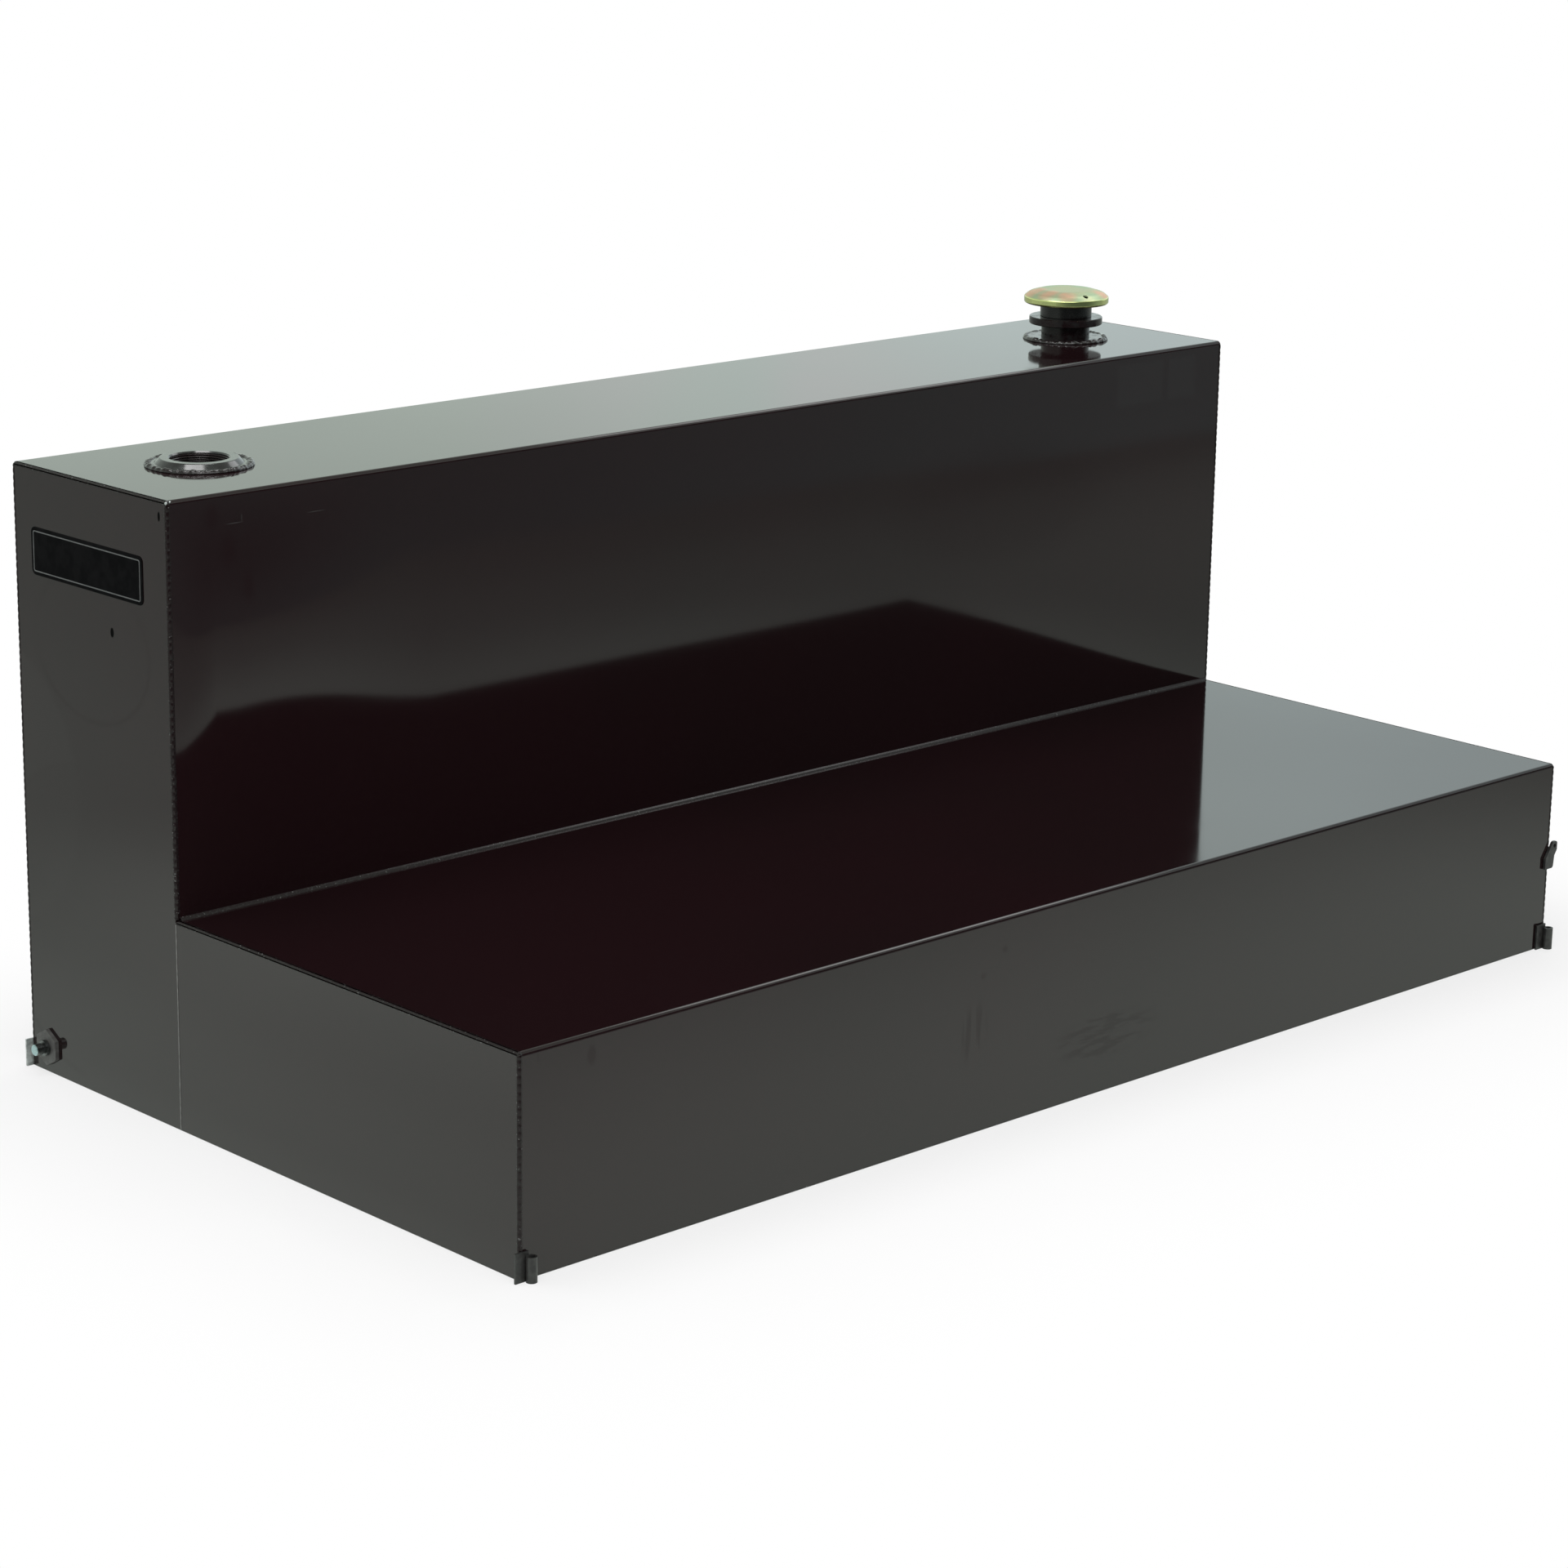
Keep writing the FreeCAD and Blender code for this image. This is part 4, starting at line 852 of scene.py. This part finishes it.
def make_world():
    """White where it is seen. In the paint it is a pale wall, a little darker above and
    brighter to the right, and it lights the object at a soft level."""
    world = bpy.data.worlds.new("studio")
    world.use_nodes = True
    bpy.context.scene.world = world
    sky = Tree(world.node_tree)
    direct, mirrored = ray_kinds(sky)
    facing = sky.node("ShaderNodeTexCoord").outputs["Generated"]
    across, _, upward = sky.axes(facing)
    tint = sky.blend(sky.span(across, 0.6, 0.78, 0, 1), (0.87, 1.0, 0.905), (0.87, 1.0, 1.0))
    rosy = sky.product(
        sky.span(sky.clouds(facing, 13, 1), 0.45, 0.62, 0, 0.7),
        sky.span(across, 0.61, 0.65, 0, 1),
        sky.span(across, 0.70, 0.73, 1, 0),
    )
    strength = sky.product(
        sky.span(upward, 0.3, 0.85, 1, 0.5),
        sky.span(upward, 0.20, 0.25, 1, 0.81),
        sky.span(upward, 0.25, 0.27, 1, 1.13),
        sky.span(across, 0.57, 0.69, 0.98, 1.16),
        sky.span(sky.clouds(facing, 9, 1), 0.35, 0.65, 0.95, 1.05),
    )
    soft = sky.node("ShaderNodeBackground", Color=(1, 1, 1, 1), Strength=0.55)
    white = sky.node("ShaderNodeBackground", Color=(1, 1, 1, 1))
    pale = sky.node("ShaderNodeBackground")
    sky.link(sky.blend(rosy, tint, (0.95, 0.98, 0.965)), pale.inputs["Color"])
    sky.link(strength, pale.inputs["Strength"])
    seen = sky.mix(direct, sky.mix(mirrored, soft, pale), white)
    sky.link(seen.outputs[0], sky.tree.nodes["World Output"].inputs["Surface"])


def beside_tank(shader):
    """Distance on the floor from the tank's footprint."""
    across, along, _ = shader.axes(shader.place())
    gaps = []
    for value, half in ((across, RIGHT), (along, BACK)):
        beyond = shader.maths("SUBTRACT", shader.maths("ABSOLUTE", value), half)
        gaps.append(shader.maths("POWER", shader.maths("MAXIMUM", beyond, 0), 2))
    return shader.maths("SQRT", shader.maths("ADD", *gaps)), across, along


def make_floor():
    """Pale floor that keeps the shadow and turns to pure white further out. In the paint
    its lit patch fades with the distance from the tank."""
    half = 30
    corners = [(-half, -half, 0), (half, -half, 0), (half, half, 0), (-half, half, 0)]
    shader = Shader("floor")
    direct, mirrored = ray_kinds(shader)
    distance, across, along = beside_tank(shader)
    surface = shader.node("ShaderNodeBsdfDiffuse", Color=(0.9, 0.9, 0.9, 1))
    white = shader.node("ShaderNodeEmission", Strength=1)
    glow = shader.node("ShaderNodeEmission", Color=(0.885, 0.975, 0.90, 1))
    patch = shader.product(
        shader.span(distance, 0.1, 1.0, 0.97, 0.46),
        shader.span(along, -2.0, -0.9, 0.62, 1),
        shader.span(across, -1.25, -0.95, 1.34, 1),
        shader.span(across, -2.1, -1.5, 0.89, 1),
        shader.span(across, -0.8, -0.74, 0.94, 1),
    )
    shader.link(patch, glow.inputs["Strength"])
    fill = shader.product(shader.span(distance, 0, 0.4, 0.72, 1), direct)
    shader.show(shader.mix(mirrored, shader.mix(fill, surface, white), glow))
    floor = mesh_object("floor", corners, [(0, 1, 2, 3)], shader.material, smooth=False)


def make_flag():
    """Dark cloth on the camera's side of the studio. It shows only in the paint, where it
    gives the tall front wall and the deck the dark room of the photograph."""
    place_y, x_low, x_high, height = -2.0, -7.0, 6.0, 1.6
    corners = [(x_low, place_y, 0), (x_high, place_y, 0),
               (x_high, place_y, height), (x_low, place_y, height)]
    shader = Shader("flag")
    across, _, upward = shader.axes(shader.place())
    fall = shader.span(upward, 0, 0.6, 0.3, 0.05)
    side = shader.span(across, 0.6, 3.0, 0.5, 1.0)
    glow = shader.node("ShaderNodeEmission", Color=(1.02, 1.28, 1.25, 1))
    shader.link(shader.product(fall, side), glow.inputs["Strength"])
    shader.show(glow)
    flag = mesh_object("flag", corners, [(0, 1, 2, 3)], shader.material, smooth=False)
    flag.visible_camera = False
    flag.visible_diffuse = False
    flag.visible_transmission = False
    flag.visible_shadow = False


def softbox(name, place, target, width, height, power):
    """Rectangular lamp that looks at a target."""
    data = bpy.data.lights.new(name, "AREA")
    data.shape = "RECTANGLE"
    data.size = width
    data.size_y = height
    data.energy = power
    lamp = bpy.data.objects.new(name, data)
    lamp.location = place
    lamp.rotation_mode = "QUATERNION"
    lamp.rotation_quaternion = (Vector(target) - Vector(place)).to_track_quat("-Z", "Y")
    bpy.context.scene.collection.objects.link(lamp)


def make_studio():
    make_world()
    make_floor()
    make_flag()
    softbox("key", (-1.3, -1.5, 2.6), (0, 0, 0.3), 3.0, 2.0, 30)
    softbox("overhead", (1.7, 0.1, 2.3), (0.2, 0.1, 0.4), 1.6, 0.8, 9)
    softbox("spark", (-1.9, -1.5, 2.9), (0, 0, 0.4), 0.22, 0.22, 4)
    softbox("above_bung", (-0.96, 0.21, 2.41), (-0.774, 0.405, 0.6), 1.0, 0.4, 10)
    softbox("above_cap", (-0.03, 0.65, 2.4), (0.15, 0.84, 0.6), 0.5, 0.35, 5)


make_camera()
make_studio()
sheet_paint = paint("gloss_black_paint")
beads = bead_paint()
ring_beads = ring_bead_paint()
dress_nodes(sheet_paint, beads)
edge_beads(beads)
ring_bead("bead_bung", "weld_bung", BUNG_AXIS, BUNG_FLANGE_RADIUS, ring_beads)
ring_bead("bead_neck", "weld_neck", NECK_AXIS, NECK_FLANGE_RADIUS, ring_beads)
# Near white metal for the two small blobs at the upper corner.
corner_knots(beads, metal("bright_spot_metal", (0.80, 0.83, 0.83), (0.55, 0.57, 0.57), 0.35, 900))
thread("bung_thread", BUNG_AXIS, BUNG_THREAD_LOW, BUNG_THREAD_HIGH, BUNG_THREAD_RADIUS,
       BUNG_THREAD_PITCH, -1.1 * MM, sheet_paint)
thread("neck_thread", NECK_AXIS, NECK_THREAD_LOW, NECK_THREAD_HIGH, NECK_THREAD_RADIUS,
       NECK_THREAD_PITCH, 0.3 * MM, sheet_paint)
valve_spring()
nameplate()

scene = bpy.context.scene
scene.view_settings.view_transform = "Standard"
